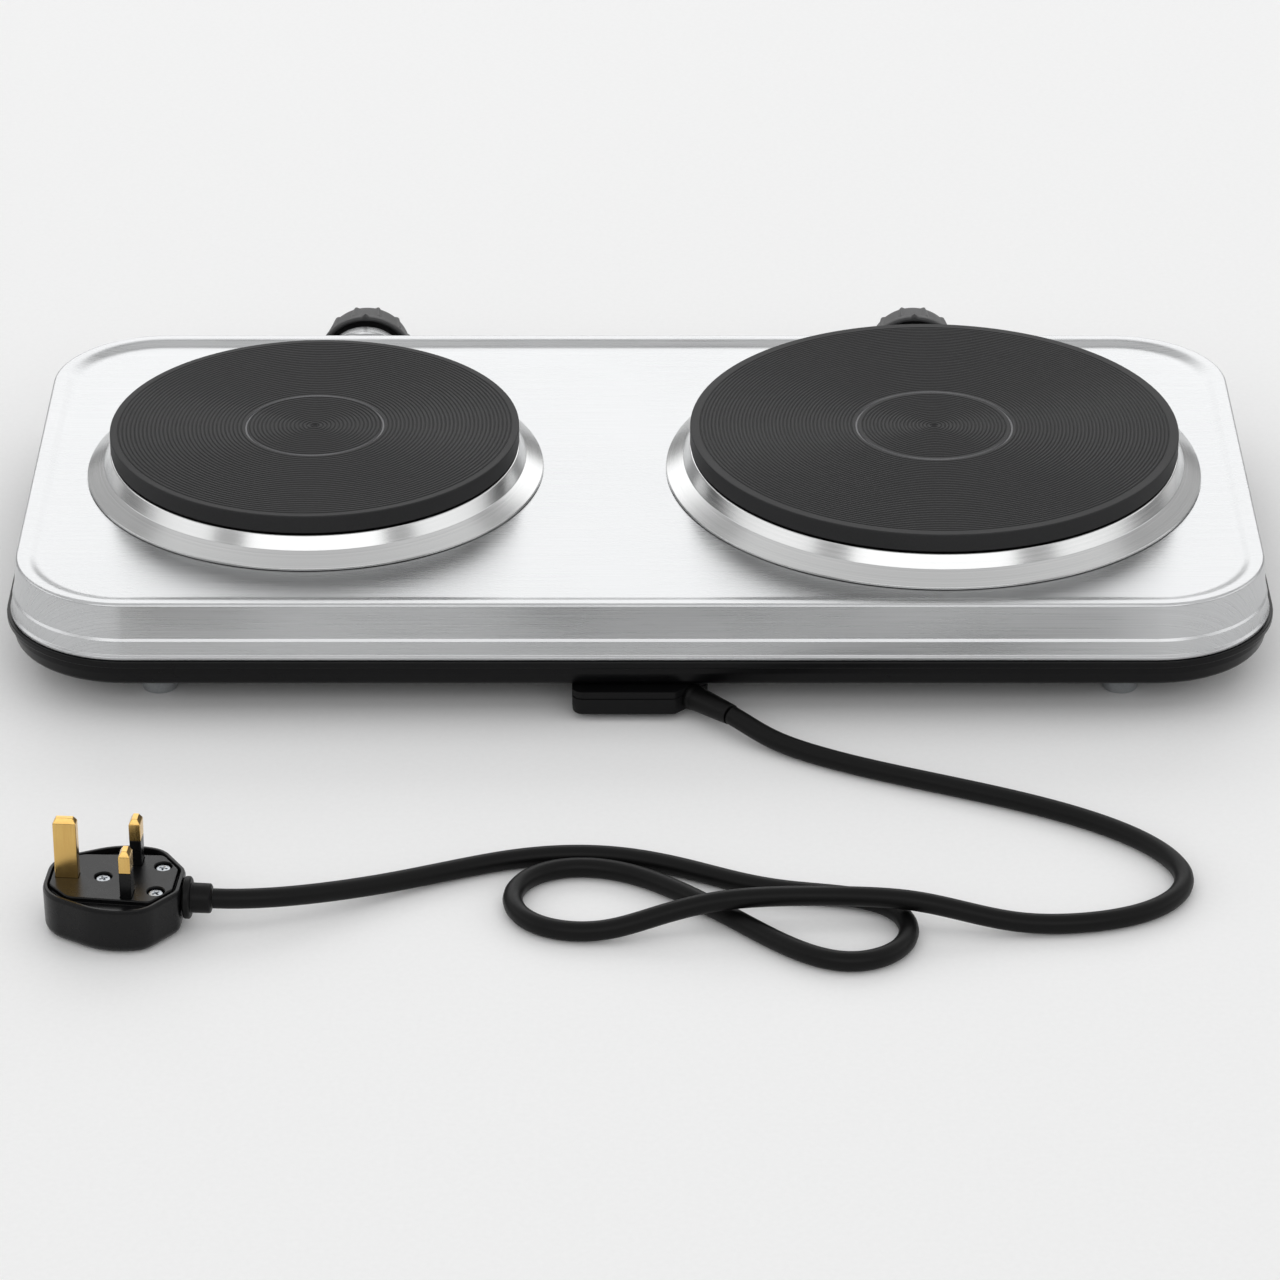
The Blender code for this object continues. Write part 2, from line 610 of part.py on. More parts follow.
def plug_outline(inset):
    return rounded_outline(mirrored([
        (-0.0300, 0.0120, 0.0090), (-0.0060, 0.0244, 0.0200), (0.0080, 0.0208, 0.0110),
        (0.0173, 0.0078, 0.0050),
    ]), 4, inset)


def face_outline(inset):
    return rounded_outline(mirrored([
        (-0.0272, 0.0066, 0.0040), (-0.0200, 0.0146, 0.0060), (0.0084, 0.0160, 0.0030),
        (0.0142, 0.0070, 0.0030),
    ]), 4, inset)


def build_plug(plug):
    """The plug in its own frame: x along its cord, pins up, its back on the standing surface."""
    face = PLUG_FACE_Z
    cover = loft("plug_cover", [
        at_height(plug_outline(0.0034), 0.0), at_height(plug_outline(0.0012), 0.0012),
        at_height(plug_outline(0.0002), 0.0040), at_height(plug_outline(0.0), face - 0.0016),
        at_height(plug_outline(0.0006), face - 0.0003), at_height(plug_outline(0.0016), face - 0.0003),
        at_height(plug_outline(0.0019), face - 0.0036), at_height(plug_outline(0.0022), 0.0022),
    ], "black_plastic", plug)
    base = loft("plug_base", [
        at_height(plug_outline(0.0027), 0.0138), at_height(plug_outline(0.0025), face - 0.0020),
        at_height(face_outline(0.0), face - 0.0015), at_height(face_outline(0.0), face - 0.0003),
        at_height(face_outline(0.0003), face),
    ], "black_plastic", plug)

    line = add_frame("plug_cord_line", (0.0, 0.0, PLUG_CORD_Z), (0.0, math.pi / 2, 0.0), plug)
    cut(cover, drum("cut_plug_outlet", 0.0050, 0.0120, 0.0200, 16, None, line))
    turned("plug_grip", [
        (0.0, 0.0118), (0.0029, 0.0118), (0.0029, 0.0152), (0.0046, 0.0152), (0.0046, 0.0177),
        (0.0071, 0.0177), (0.0073, 0.0182), (0.0073, 0.0194), (0.0068, 0.0200), (0.0052, 0.0201),
        (0.0050, 0.0262), (0.0046, GRIP_END), (0.0, GRIP_END),
    ], 20, "black_pvc", line)

    half_pin = (0.0040, 0.0020)
    build_pin("earth_pin", (-PIN_SPACING, 0.0), half_pin, 0.0045, EARTH_PIN_LENGTH, base, plug)
    short_half = (0.0020, 0.003175)
    for name, y in (("live", PIN_SPACING / 2), ("neutral", -PIN_SPACING / 2)):
        build_pin(f"{name}_pin", (0.0, y), short_half, 0.0090, SHORT_PIN_LENGTH, base, plug, True)

    drum("plug_fuse", 0.0031, -0.0180, 0.0074, 12, "zinc_steel",
         add_frame("fuse_line", (0.0, PIN_SPACING / 2, 0.0056), (0.0, math.pi / 2, 0.0), plug))
    block("plug_cord_clamp", (0.0080, -0.0080, 0.0030), (0.0112, 0.0080, 0.0130),
          "black_plastic", plug, bevel=0.0006)
    for name, x, y in (("middle", -0.0100, 0.0), ("left", 0.0093, 0.0084), ("right", 0.0093, -0.0084)):
        place = add_frame(f"plug_screw_{name}_place", (x, y, 0.0), parent=plug)
        cut(base, drum(f"cut_{name}_head", 0.0030, face - 0.0022, face + 0.003, 16, None, place))
        cut(base, drum(f"cut_{name}_shank", 0.0016, 0.010, face, 12, None, place))
        turned(f"plug_screw_{name}", [
            (0.0, face - 0.0008), (0.0022, face - 0.0008), (0.0026, face - 0.0012),
            (0.0026, face - 0.0019), (0.0013, face - 0.0019), (0.0013, 0.0132), (0.0, 0.0132),
        ], 16, "zinc_steel", place)


def build_pin(name, place, half, foot_z, length, base, plug, sleeved=False):
    """A flat brass pin with a chamfered tip, and a sleeve round the root of a short one."""
    x, y = place
    half_x, half_y = half
    top = PLUG_FACE_Z + length
    ease = 0.0008
    sleeve_top = PLUG_FACE_Z + SLEEVE_LENGTH
    root = 0.0006 if sleeved else 0.0

    def section(shrink, z):
        a, b = half_x - shrink, half_y - shrink
        return [(x - a, y - b, z), (x + a, y - b, z), (x + a, y + b, z), (x - a, y + b, z)]

    rings = [section(root, foot_z)]
    if sleeved:
        rings += [section(root, sleeve_top + GAP), section(0.0, sleeve_top + GAP)]
    rings += [section(0.0, top - 0.0014), section(ease, top)]
    loft(name, rings, "brass", plug)
    cut(base, loft(f"cut_{name}", [section(-GAP, 0.010), section(-GAP, 0.020)], None, plug))
    if sleeved:
        sleeve = loft(f"{name}_sleeve", [section(0.0, 0.0130), section(0.0, sleeve_top)],
                      "black_plastic", plug)
        cut(sleeve, loft(f"cut_{name}_sleeve", [section(0.0004, 0.010), section(0.0004, 0.030)],
                         None, plug))


# ---------------------------------------------------------------- the whole object

def main():
    clear_scene()
    body = add_frame("body_centre", (0.0, BODY_Y, 0.0))
    forward = (math.pi / 2, 0.0, 0.0)
    controls = []
    lamps = []
    for name, side in (("small", 1), ("large", -1)):
        controls.append(add_frame(f"{name}_knob_axis", (side * KNOB_X, 0.0, KNOB_Z), forward, body))
        lamps.append(add_frame(f"{name}_lamp_axis", (side * LAMP_X, 0.0, LAMP_Z), forward, body))
        build_control(name, controls[-1])
        build_lamp(name, lamps[-1])
    build_top_cover(body, controls, lamps)
    build_base_pan(body, controls)
    for plate in PLATES:
        build_hotplate(*plate, body)

    outward = Vector((-1.0, 1.0, 0.0)).to_track_quat("Z", "Y").to_euler()
    outlet = add_frame(
        "cord_outlet", (BOX_CUT / 2 - BOX_HALF_X, BOX_REAR_Y - BOX_CUT / 2, BUSH_Z), outward, body,
    )
    build_cord_entry(body, outlet)
    build_wiring(body)
    for x, y in foot_places():
        name = ("rear" if y > 0 else "front") + ("_left" if x > 0 else "_right")
        build_foot(name, x, y, body)

    round_wire("mains_cord", CORD_ROUTE, CORD_R, "black_pvc", None, CORD_STEP)
    build_plug(add_frame("plug_centre", (PLUG_X, PLUG_Y, 0.0), (0.0, 0.0, PLUG_TURN)))


main()
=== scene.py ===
import json
import math

import bmesh
import bpy
from mathutils import Matrix, Vector


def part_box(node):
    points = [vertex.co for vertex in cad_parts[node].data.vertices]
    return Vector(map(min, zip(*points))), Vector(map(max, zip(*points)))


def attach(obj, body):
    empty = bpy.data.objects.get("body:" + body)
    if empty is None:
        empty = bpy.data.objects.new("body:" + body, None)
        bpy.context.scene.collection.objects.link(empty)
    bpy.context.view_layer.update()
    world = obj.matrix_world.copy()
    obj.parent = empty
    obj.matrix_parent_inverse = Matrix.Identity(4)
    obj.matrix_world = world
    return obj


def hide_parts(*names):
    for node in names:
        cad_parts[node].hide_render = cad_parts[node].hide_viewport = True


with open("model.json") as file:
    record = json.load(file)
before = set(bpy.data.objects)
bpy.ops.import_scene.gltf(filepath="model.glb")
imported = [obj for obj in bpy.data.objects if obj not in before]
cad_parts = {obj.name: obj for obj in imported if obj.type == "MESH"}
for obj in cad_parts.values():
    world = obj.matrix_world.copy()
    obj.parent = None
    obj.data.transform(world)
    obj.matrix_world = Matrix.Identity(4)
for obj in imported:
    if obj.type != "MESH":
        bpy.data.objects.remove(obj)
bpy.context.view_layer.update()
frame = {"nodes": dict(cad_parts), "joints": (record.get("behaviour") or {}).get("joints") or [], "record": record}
scene = bpy.context.scene
scene.view_settings.view_transform = "Standard"

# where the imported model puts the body: the plates sit on its middle line, the pan's lip is its edge
panLow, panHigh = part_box("base_pan")
coverLow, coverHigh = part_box("top_cover")
lip = 0.0065  # how far the pan's lip stands out from the crest of the rim
bodyY = sum(corner.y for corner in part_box("small_plate")) / 2
crestHalfX = panHigh.x - lip
crestHalfY = panHigh.y - bodyY - lip
print("frame loaded,", len(frame["nodes"]), "nodes")

camera = {
    "focal": 154.7,  # mm on a 36 mm sensor, a long lens from two metres
    "place": (0.0, 1.8927, 0.9631),
    "pitch": 27.85,
}
lens = bpy.data.cameras.new("studioCamera")
lens.lens = camera["focal"]
lens.sensor_width = 36
lens.clip_start = 0.01
studioCamera = bpy.data.objects.new("studioCamera", lens)
studioCamera.location = camera["place"]
studioCamera.rotation_euler = (math.radians(90 - camera["pitch"]), 0, math.radians(180))
scene.collection.objects.link(studioCamera)
scene.camera = studioCamera


# ---- small helpers for nodes, colours and shapes

def toLinear(hexText):
    channels = [int(hexText[i:i + 2], 16) / 255 for i in (1, 3, 5)]
    return [c / 12.92 if c <= 0.04045 else ((c + 0.055) / 1.055) ** 2.4 for c in channels] + [1.0]


def addNode(tree, kind, settings, links=None):
    made = tree.nodes.new(kind)
    for key, value in settings.items():
        if isinstance(key, int) or key in made.inputs:
            made.inputs[key].default_value = value
        else:
            setattr(made, key, value)
    for key, source in (links or {}).items():
        tree.links.new(source, made.inputs[key])
    return made


def makeFinish(look):
    # a surface of two close colours that follow its grain and a slow cloud, both sized in millimetres
    material = bpy.data.materials.new(look["name"])
    material.use_nodes = True
    tree = material.node_tree
    shader = tree.nodes["Principled BSDF"]
    for socket, value in look.get("sockets", {}).items():
        shader.inputs[socket].default_value = value
    shader.inputs["Metallic"].default_value = look["metallic"]
    where = addNode(tree, "ShaderNodeTexCoord", {}).outputs[look.get("laid", "Object")]
    toGrain = addNode(tree, "ShaderNodeMapping", {"Scale": [1000 / mm for mm in look["grain"]]},
                      {"Vector": where})
    grain = addNode(tree, "ShaderNodeTexNoise", {"Scale": 1.0, "Detail": 3.0, "Roughness": 0.55},
                    {"Vector": toGrain.outputs[0]})
    cloud = addNode(tree, "ShaderNodeTexNoise", {"Scale": 1000 / look["cloud"], "Detail": 2.0},
                    {"Vector": where})
    slow = addNode(tree, "ShaderNodeMath", {"operation": "MULTIPLY", 1: 0.4}, {0: cloud.outputs["Fac"]})
    blend = addNode(tree, "ShaderNodeMath", {"operation": "MULTIPLY_ADD", 1: 0.6},
                    {0: grain.outputs["Fac"], 2: slow.outputs[0]})
    colours = addNode(tree, "ShaderNodeValToRGB", {}, {"Fac": blend.outputs[0]})
    colours.color_ramp.elements[0].position = 0.35
    colours.color_ramp.elements[0].color = toLinear(look["dark"])
    colours.color_ramp.elements[1].position = 0.65
    colours.color_ramp.elements[1].color = toLinear(look["light"])
    tree.links.new(colours.outputs[0], shader.inputs["Base Color"])
    low, high = look["roughness"]
    rough = addNode(tree, "ShaderNodeMapRange",
                    {"From Min": 0.3, "From Max": 0.7, "To Min": low, "To Max": high},
                    {"Value": blend.outputs[0]})
    tree.links.new(rough.outputs[0], shader.inputs["Roughness"])
    bump = addNode(tree, "ShaderNodeBump", {"Strength": look["bump"], "Distance": look["depth"] / 1000},
                   {"Height": grain.outputs["Fac"]})
    tree.links.new(bump.outputs[0], shader.inputs["Normal"])
    return material


def filletPath(corners, steps, closed=False, inset=0.0):
    # a path of (a, b, radius) corners with each one rounded by an arc
    path = []
    count = len(corners)
    for i, (a, b, radius) in enumerate(corners):
        here = Vector((a, b))
        if radius == 0 or (not closed and i in (0, count - 1)):
            path.append((a, b))
            continue
        before = (Vector(corners[i - 1][:2]) - here).normalized()
        after = (Vector(corners[(i + 1) % count][:2]) - here).normalized()
        half = before.angle(after) / 2
        reach = radius / math.tan(half)
        centre = here + (before + after).normalized() * (radius / math.sin(half))
        start = (here + before * reach - centre) * (1 - inset / radius)
        sweep = start.angle_signed(here + after * reach - centre)
        for k in range(steps + 1):
            turn = -sweep * k / steps
            point = Vector((start.x * math.cos(turn) - start.y * math.sin(turn),
                            start.x * math.sin(turn) + start.y * math.cos(turn)))
            path.append((centre.x + point.x, centre.y + point.y))
    return path


quarters = ((1, -1), (1, 1), (-1, 1), (-1, -1))  # the signs of a rectangle's corners, going round


def blockPath(centre, half, radius, steps):
    # a rectangle about its centre with rounded corners
    corners = [(centre[0] + sx * half[0], centre[1] + sy * half[1], radius) for sx, sy in quarters]
    return filletPath(corners, steps, closed=True)


def loftMesh(rings, loop=False):
    # a skin through rings of equal count, closed by caps, or back to its own start
    bm = bmesh.new()
    rows = [[bm.verts.new(point) for point in ring] for ring in rings]
    pairs = list(zip(rows, rows[1:]))
    if loop:
        pairs.append((rows[-1], rows[0]))
    for lower, upper in pairs:
        for i in range(len(lower)):
            j = (i + 1) % len(lower)
            bm.faces.new((lower[i], lower[j], upper[j], upper[i]))
    if not loop:
        bm.faces.new(rows[0])
        bm.faces.new(list(reversed(rows[-1])))
    return bm


def turnMesh(profile, steps, loop=False):
    # (radius, height) pairs spun about z, where a radius of 0 closes to a point
    bm = bmesh.new()
    verts = [bm.verts.new((radius, 0, height)) for radius, height in profile]
    edges = [bm.edges.new(pair) for pair in zip(verts, verts[1:] + verts[:1] if loop else verts[1:])]
    bmesh.ops.spin(bm, geom=verts + edges, cent=(0, 0, 0), axis=(0, 0, 1), angle=math.tau,
                   steps=steps, use_merge=True)
    return bm


def meshObject(name, bm, place=Matrix()):
    bmesh.ops.remove_doubles(bm, verts=bm.verts, dist=1e-6)
    bmesh.ops.recalc_face_normals(bm, faces=bm.faces)
    bm.transform(place)
    mesh = bpy.data.meshes.new(name)
    bm.to_mesh(mesh)
    bm.free()
    made = bpy.data.objects.new(name, mesh)
    scene.collection.objects.link(made)
    return made


def carve(piece, tools, operation="DIFFERENCE"):
    # cuts or joins the tools in turn, keeps the result as the piece's own mesh and removes them
    for tool in tools:
        step = piece.modifiers.new("step", "BOOLEAN")
        step.operation = operation
        step.object = tool
    bpy.context.view_layer.update()
    shaped = piece.evaluated_get(bpy.context.evaluated_depsgraph_get())
    mesh = bpy.data.meshes.new_from_object(shaped)
    piece.modifiers.clear()
    piece.data = mesh
    for tool in tools:
        bpy.data.objects.remove(tool)
    return piece


def unroll(piece, flatten):
    # lays the piece out flat for its grain: each corner's u and v are metres along the sheet
    layer = piece.data.uv_layers.new(name="sheet")
    for loop, corner in zip(piece.data.loops, layer.data):
        vertex = piece.data.vertices[loop.vertex_index]
        corner.uv = flatten(vertex.co, vertex.normal)
    return piece


def placePiece(piece, material, body, slotName, *nodes, sharp=40):
    piece.data.materials.clear()
    piece.data.materials.append(material)
    if piece.type == "MESH":
        piece.data.shade_smooth()
        piece.data.set_sharp_from_angle(angle=math.radians(sharp))
        weighted = piece.modifiers.new("weighted", "WEIGHTED_NORMAL")
        weighted.keep_sharp = True
    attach(piece, body)
    if nodes:
        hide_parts(*nodes)
    return piece


def smoothRoute(points, step):
    # even points along the cubic B-spline that the given points pull into shape
    points = [Vector(point) for point in points]
    points = [2 * points[0] - points[1]] + points + [2 * points[-1] - points[-2]]
    fine = []
    for a, b, c, d in zip(points, points[1:], points[2:], points[3:]):
        for k in range(16):
            t = k / 16
            fine.append((a * (1 - t) ** 3 + b * (3 * t ** 3 - 6 * t ** 2 + 4)
                         + c * (-3 * t ** 3 + 3 * t ** 2 + 3 * t + 1) + d * t ** 3) / 6)
    fine.append(points[-2])
    lengths = [0.0]
    for first, second in zip(fine, fine[1:]):
        lengths.append(lengths[-1] + (second - first).length)
    count = round(lengths[-1] / step)
    even = []
    place = 0
    for k in range(count + 1):
        target = lengths[-1] * k / count
        while place < len(fine) - 2 and lengths[place + 1] < target:
            place += 1
        share = (target - lengths[place]) / (lengths[place + 1] - lengths[place])
        even.append(fine[place].lerp(fine[place + 1], share))
    return even


# ---- finishes

# 304 stainless sheet, brushed along its length: fine long scratches that blur reflections across them
brushedSteel = makeFinish({
    "name": "stainless304Brushed", "metallic": 1.0, "light": "#cdcecf", "dark": "#bdbebf",
    "roughness": (0.24, 0.33), "cloud": 70,
    "grain": (60, 0.5, 0.5),  # scratches 0.1 mm apart, drawn at 0.5 mm
    "bump": 0.10, "depth": 0.02, "laid": "UV", "sockets": {"Anisotropic": 0.55},
})
steelTree = brushedSteel.node_tree
squareToScratches = {"X": 0.0, "Y": 0.8, "Z": 0.6}
across = addNode(steelTree, "ShaderNodeCombineXYZ", squareToScratches)
steelTree.links.new(across.outputs[0], steelTree.nodes["Principled BSDF"].inputs["Tangent"])

# the same sheet spun into a ring and polished: scratches run round it
spunSteel = makeFinish({
    "name": "stainless304Spun", "metallic": 1.0, "light": "#d3d3d3", "dark": "#c6c7c7",
    "roughness": (0.17, 0.25), "grain": (0.4, 0.4, 9), "cloud": 60,
    "bump": 0.06, "depth": 0.02, "laid": "UV",
})

# zinc-plated mild steel: bright grey with a faint bluish crystal bloom
zincSteel = makeFinish({
    "name": "mildSteelZincPlated", "metallic": 1.0, "light": "#c3c6c9", "dark": "#a2a6ab",
    "roughness": (0.26, 0.42), "grain": (0.8, 0.8, 0.8), "cloud": 9, "bump": 0.12, "depth": 0.03,
})

# grey cast iron, turned and given a heat-proof coating: dark, dull, with a little sheen on each ridge
castIron = makeFinish({
    "name": "castIronTurnedCoated", "metallic": 0.0, "light": "#29292a", "dark": "#1f1f20",
    "roughness": (0.50, 0.66), "grain": (0.5, 0.5, 0.5), "cloud": 55, "bump": 0.22, "depth": 0.05,
    "sockets": {"IOR": 1.5, "Specular IOR Level": 0.3},
})

# the same iron in a paler grey on the pointer groove's faces: a thin painted highlight for the light the groove's
# wall catches
grooveHighlightIron = makeFinish({
    "name": "castIronPaintedGrooveHighlight", "metallic": 1.0, "light": "#737374", "dark": "#5c5c5e",
    "roughness": (0.40, 0.52), "grain": (0.4, 0.4, 0.4), "cloud": 20, "bump": 0.15, "depth": 0.03,
})

# vitreous enamel on steel: deep black under a glassy skin with a slight orange peel
blackEnamel = makeFinish({
    "name": "vitreousEnamelFired", "metallic": 0.0, "light": "#0a0a0b", "dark": "#060607",
    "roughness": (0.26, 0.36), "grain": (3, 3, 3), "cloud": 45, "bump": 0.06, "depth": 0.05,
    "sockets": {"IOR": 1.5, "Specular IOR Level": 0.16},
})

# phenolic knob, compression moulded: charcoal, half matt, faintly mottled by its filler
phenolic = makeFinish({
    "name": "phenolicMoulded", "metallic": 0.0, "light": "#2b2b2c", "dark": "#1e1e1f",
    "roughness": (0.40, 0.52), "grain": (0.35, 0.35, 0.35), "cloud": 12, "bump": 0.15, "depth": 0.04,
    "sockets": {"IOR": 1.6},
})

# urea plug moulding: black with a soft shine and the slight ripple of the tool
ureaPlug = makeFinish({
    "name": "ureaMoulded", "metallic": 0.0, "light": "#0c0c0d", "dark": "#070708",
    "roughness": (0.24, 0.34), "grain": (2.2, 2.2, 2.2), "cloud": 14, "bump": 0.06, "depth": 0.05,
    "sockets": {"IOR": 1.55, "Specular IOR Level": 0.2},
})

# polypropylene box, moulded in a spark-eroded tool: black with a fine even grain
sparkBox = makeFinish({
    "name": "polypropyleneSparkGrain", "metallic": 0.0, "light": "#0b0b0c", "dark": "#070708",
    "roughness": (0.42, 0.55), "grain": (0.5, 0.5, 0.5), "cloud": 20, "bump": 0.3, "depth": 0.05,
    "sockets": {"IOR": 1.49, "Specular IOR Level": 0.18},
})

# PVC sheath, extruded: black and matt, with long faint lines from the die
pvcSheath = makeFinish({
    "name": "pvcExtruded", "metallic": 0.0, "light": "#080808", "dark": "#050505",
    "roughness": (0.38, 0.50), "grain": (0.9, 0.9, 0.9), "cloud": 25, "bump": 0.12, "depth": 0.04,
    "sockets": {"IOR": 1.53, "Specular IOR Level": 0.16},
})

# clear silicone foot, moulded: milky grey that lets some light through
clearRubber = makeFinish({
    "name": "siliconeMoulded", "metallic": 0.0, "light": "#c9ccce", "dark": "#b6babd",
    "roughness": (0.30, 0.42), "grain": (0.8, 0.8, 0.8), "cloud": 6, "bump": 0.08, "depth": 0.04,
    "sockets": {"IOR": 1.41, "Transmission Weight": 0.55},
})

# brass pin, drawn and machined: warm yellow with fine lines along its length
brassPin = makeFinish({
    "name": "brassMachined", "metallic": 1.0, "light": "#dcb870", "dark": "#d0a863",
    "roughness": (0.20, 0.28), "grain": (0.5, 0.5, 14), "cloud": 8, "bump": 0.05, "depth": 0.02,
})

# polycarbonate lens, moulded: clear red that looks darker where it is thick
redLens = makeFinish({
    "name": "polycarbonateMoulded", "metallic": 0.0, "light": "#c81e14", "dark": "#a3140d",
    "roughness": (0.12, 0.20), "grain": (1.5, 1.5, 1.5), "cloud": 4, "bump": 0.04, "depth": 0.03,
    "sockets": {"IOR": 1.58, "Transmission Weight": 0.5},
})

# steatite, pressed and fired: chalky ivory with tiny pits
steatite = makeFinish({
    "name": "steatitePressed", "metallic": 0.0, "light": "#e6e1d3", "dark": "#d3ccba",
    "roughness": (0.60, 0.74), "grain": (0.4, 0.4, 0.4), "cloud": 7, "bump": 0.3, "depth": 0.06,
})

# magnesia insulating mass, rammed and dried: dull grey-brown and sandy
rammedMass = makeFinish({
    "name": "magnesiaRammed", "metallic": 0.0, "light": "#b1aca3", "dark": "#99948b",
    "roughness": (0.78, 0.92), "grain": (0.9, 0.9, 0.9), "cloud": 16, "bump": 0.5, "depth": 0.15,
})

# white pad-printed ink on the knob's pointer: flat white, a little thin at the grain
whiteInk = makeFinish({
    "name": "padPrintedInk", "metallic": 0.0, "light": "#ececea", "dark": "#dcdcd9",
    "roughness": (0.50, 0.62), "grain": (0.3, 0.3, 0.3), "cloud": 3, "bump": 0.08, "depth": 0.02,
})

# glass-fibre wire sleeving, braided and lacquered, in the three mains colours
wireSleeving = {}
for slotName, light, dark in (("wire_brown", "#6a3d24", "#54301c"), ("wire_blue", "#2f5fa8", "#254c89"),
                              ("wire_earth", "#7aa03a", "#c3b93a")):
    wireSleeving[slotName] = makeFinish({
        "name": "glassFibreBraided" + slotName.split("_")[1].capitalize(), "metallic": 0.0,
        "light": light, "dark": dark, "roughness": (0.48, 0.60), "grain": (0.5, 0.5, 0.5),
        "cloud": 5, "bump": 0.3, "depth": 0.05,
    })

slotFinishes = {
    "stainless": brushedSteel, "zinc_steel": zincSteel, "cast_iron": castIron,
    "black_enamel": blackEnamel, "black_plastic": ureaPlug, "black_pvc": pvcSheath,
    "ceramic": steatite, "element": rammedMass, "clear_rubber": clearRubber, "brass": brassPin,
    "lamp_red": redLens, **wireSleeving,
}
for part in frame["record"]["subparts"]:
    node = frame["nodes"][part["node"]]
    node.data.materials.clear()
    node.data.materials.append(slotFinishes[part["material_slot"]])
print("finishes made")

# ---- mains cord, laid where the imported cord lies

mainsCord = {
    "diameter": 0.007,
    "length": 0.90,
    "route": (
        (-0.0333, 0.1423, 0.0074), (-0.0385, 0.1473, 0.0065), (-0.0458, 0.1537, 0.0047),
        (-0.0560, 0.1610, 0.0037), (-0.0750, 0.1718, 0.0035), (-0.0975, 0.1820, 0.0035),
        (-0.1210, 0.1920, 0.0035), (-0.1445, 0.2033, 0.0035), (-0.1660, 0.2170, 0.0035),
        (-0.1820, 0.2330, 0.0035), (-0.1900, 0.2510, 0.0035), (-0.1840, 0.2675, 0.0035),
        (-0.1690, 0.2785, 0.0035), (-0.1490, 0.2835, 0.0035), (-0.1290, 0.2840, 0.0038),
        (-0.1100, 0.2820, 0.0078), (-0.0920, 0.2795, 0.0114), (-0.0690, 0.2778, 0.0114),
        (-0.0470, 0.2778, 0.0114), (-0.0260, 0.2800, 0.0112), (-0.0070, 0.2840, 0.0078),
        (0.0080, 0.2880, 0.0041), (0.0230, 0.2895, 0.0035), (0.0390, 0.2830, 0.0035),
        (0.0460, 0.2665, 0.0035), (0.0390, 0.2500, 0.0035), (0.0230, 0.2435, 0.0035),
        (0.0060, 0.2470, 0.0035), (-0.0090, 0.2570, 0.0035), (-0.0235, 0.2705, 0.0035),
        (-0.0380, 0.2860, 0.0035), (-0.0530, 0.3015, 0.0035), (-0.0700, 0.3105, 0.0035),
        (-0.0870, 0.3035, 0.0035), (-0.0935, 0.2870, 0.0035), (-0.0870, 0.2705, 0.0035),
        (-0.0700, 0.2635, 0.0035), (-0.0510, 0.2615, 0.0035), (-0.0340, 0.2555, 0.0035),
        (-0.0170, 0.2460, 0.0035), (0.0020, 0.2380, 0.0035), (0.0220, 0.2352, 0.0035),
        (0.0440, 0.2385, 0.0035), (0.0660, 0.2475, 0.0036), (0.0880, 0.2585, 0.0047),
        (0.1080, 0.2690, 0.0074), (0.1250, 0.2763, 0.0097), (0.1385, 0.2785, 0.0105),
        (0.1453, 0.2780, 0.0105),
    ),
}
cordLine = bpy.data.curves.new("mainsCord", "CURVE")
cordLine.dimensions = "3D"
cordLine.bevel_depth = mainsCord["diameter"] / 2
cordLine.bevel_resolution = 5
cordLine.use_fill_caps = True
cordPoints = smoothRoute(mainsCord["route"], 0.002)
spline = cordLine.splines.new("POLY")
spline.points.add(len(cordPoints) - 1)
for place, point in zip(spline.points, cordPoints):
    place.co = (*point, 1.0)
spline.use_smooth = True
cordPiece = bpy.data.objects.new("mainsCord", cordLine)
scene.collection.objects.link(cordPiece)
placePiece(cordPiece, pvcSheath, "hob", "black_pvc", "mains_cord")
print("cord laid")


# ---- shells

crestRadius = 0.040  # of the body's corners, along the crest of the rim


def bodyRing(outset, height):
    half = (crestHalfX + outset, crestHalfY + outset)
    outline = blockPath((0.0, 0.0), half, crestRadius + outset, 20)
    return [(x, y + bodyY, height) for x, y in outline]


def drumTool(name, radius, low, high, place, steps=64):
    return meshObject(name, turnMesh([(0, low), (radius, low), (radius, high), (0, high)], steps), place)


# each control lies on its own axis, which points out of the front with +y of its place upwards
controlPlaces = {}
lampPlaces = {}
for side, joint in zip(("small", "large"), frame["joints"]):
    axisX, _y, axisZ = joint["pos_m"]
    controlPlaces[side] = Matrix.Translation((axisX, bodyY, axisZ)) @ Matrix.Rotation(math.pi / 2, 4, "X")
    low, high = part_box(side + "_pilot_lamp")
    lampPlaces[side] = (Matrix.Translation(((low.x + high.x) / 2, bodyY, (low.z + high.z) / 2))
                        @ Matrix.Rotation(math.pi / 2, 4, "X"))

boss = {
    "root": crestHalfY + 0.0017, "face": 0.1260, "skin": 0.0009,
    "radius": 0.0168, "hollow": 0.0138, "top": 0.0450, "steps": 96,
}
seamGap = 0.0002  # each shell stops this far from the line where they meet
bossFloor = panLow.z + 0.0003


def bossTool(name, place, low, high):
    # a round stub with a rolled edge, cut level where the two shells meet
    rings = []
    root = boss["root"]
    face = boss["face"]
    for y, grow in (
        (root - 0.0005, 0.0016), (root + 0.0024, 0.0010), (root + 0.0034, 0.0003), (root + 0.0044, 0.0),
        (face - 0.0010, 0.0), (face - 0.0005, -0.0002), (face - 0.0001, -0.0006), (face, -0.0011),
    ):
        radius = boss["radius"] + grow
        ring = []
        for k in range(boss["steps"]):
            angle = math.tau * k / boss["steps"]
            level = min(max(radius * math.sin(angle), low), high)
            reach = math.sqrt(max(radius ** 2 - level ** 2, 0.0))
            ring.append((min(max(radius * math.cos(angle), -reach), reach), level, y))
        rings.append(ring)
    return meshObject(name, loftMesh(rings), place)


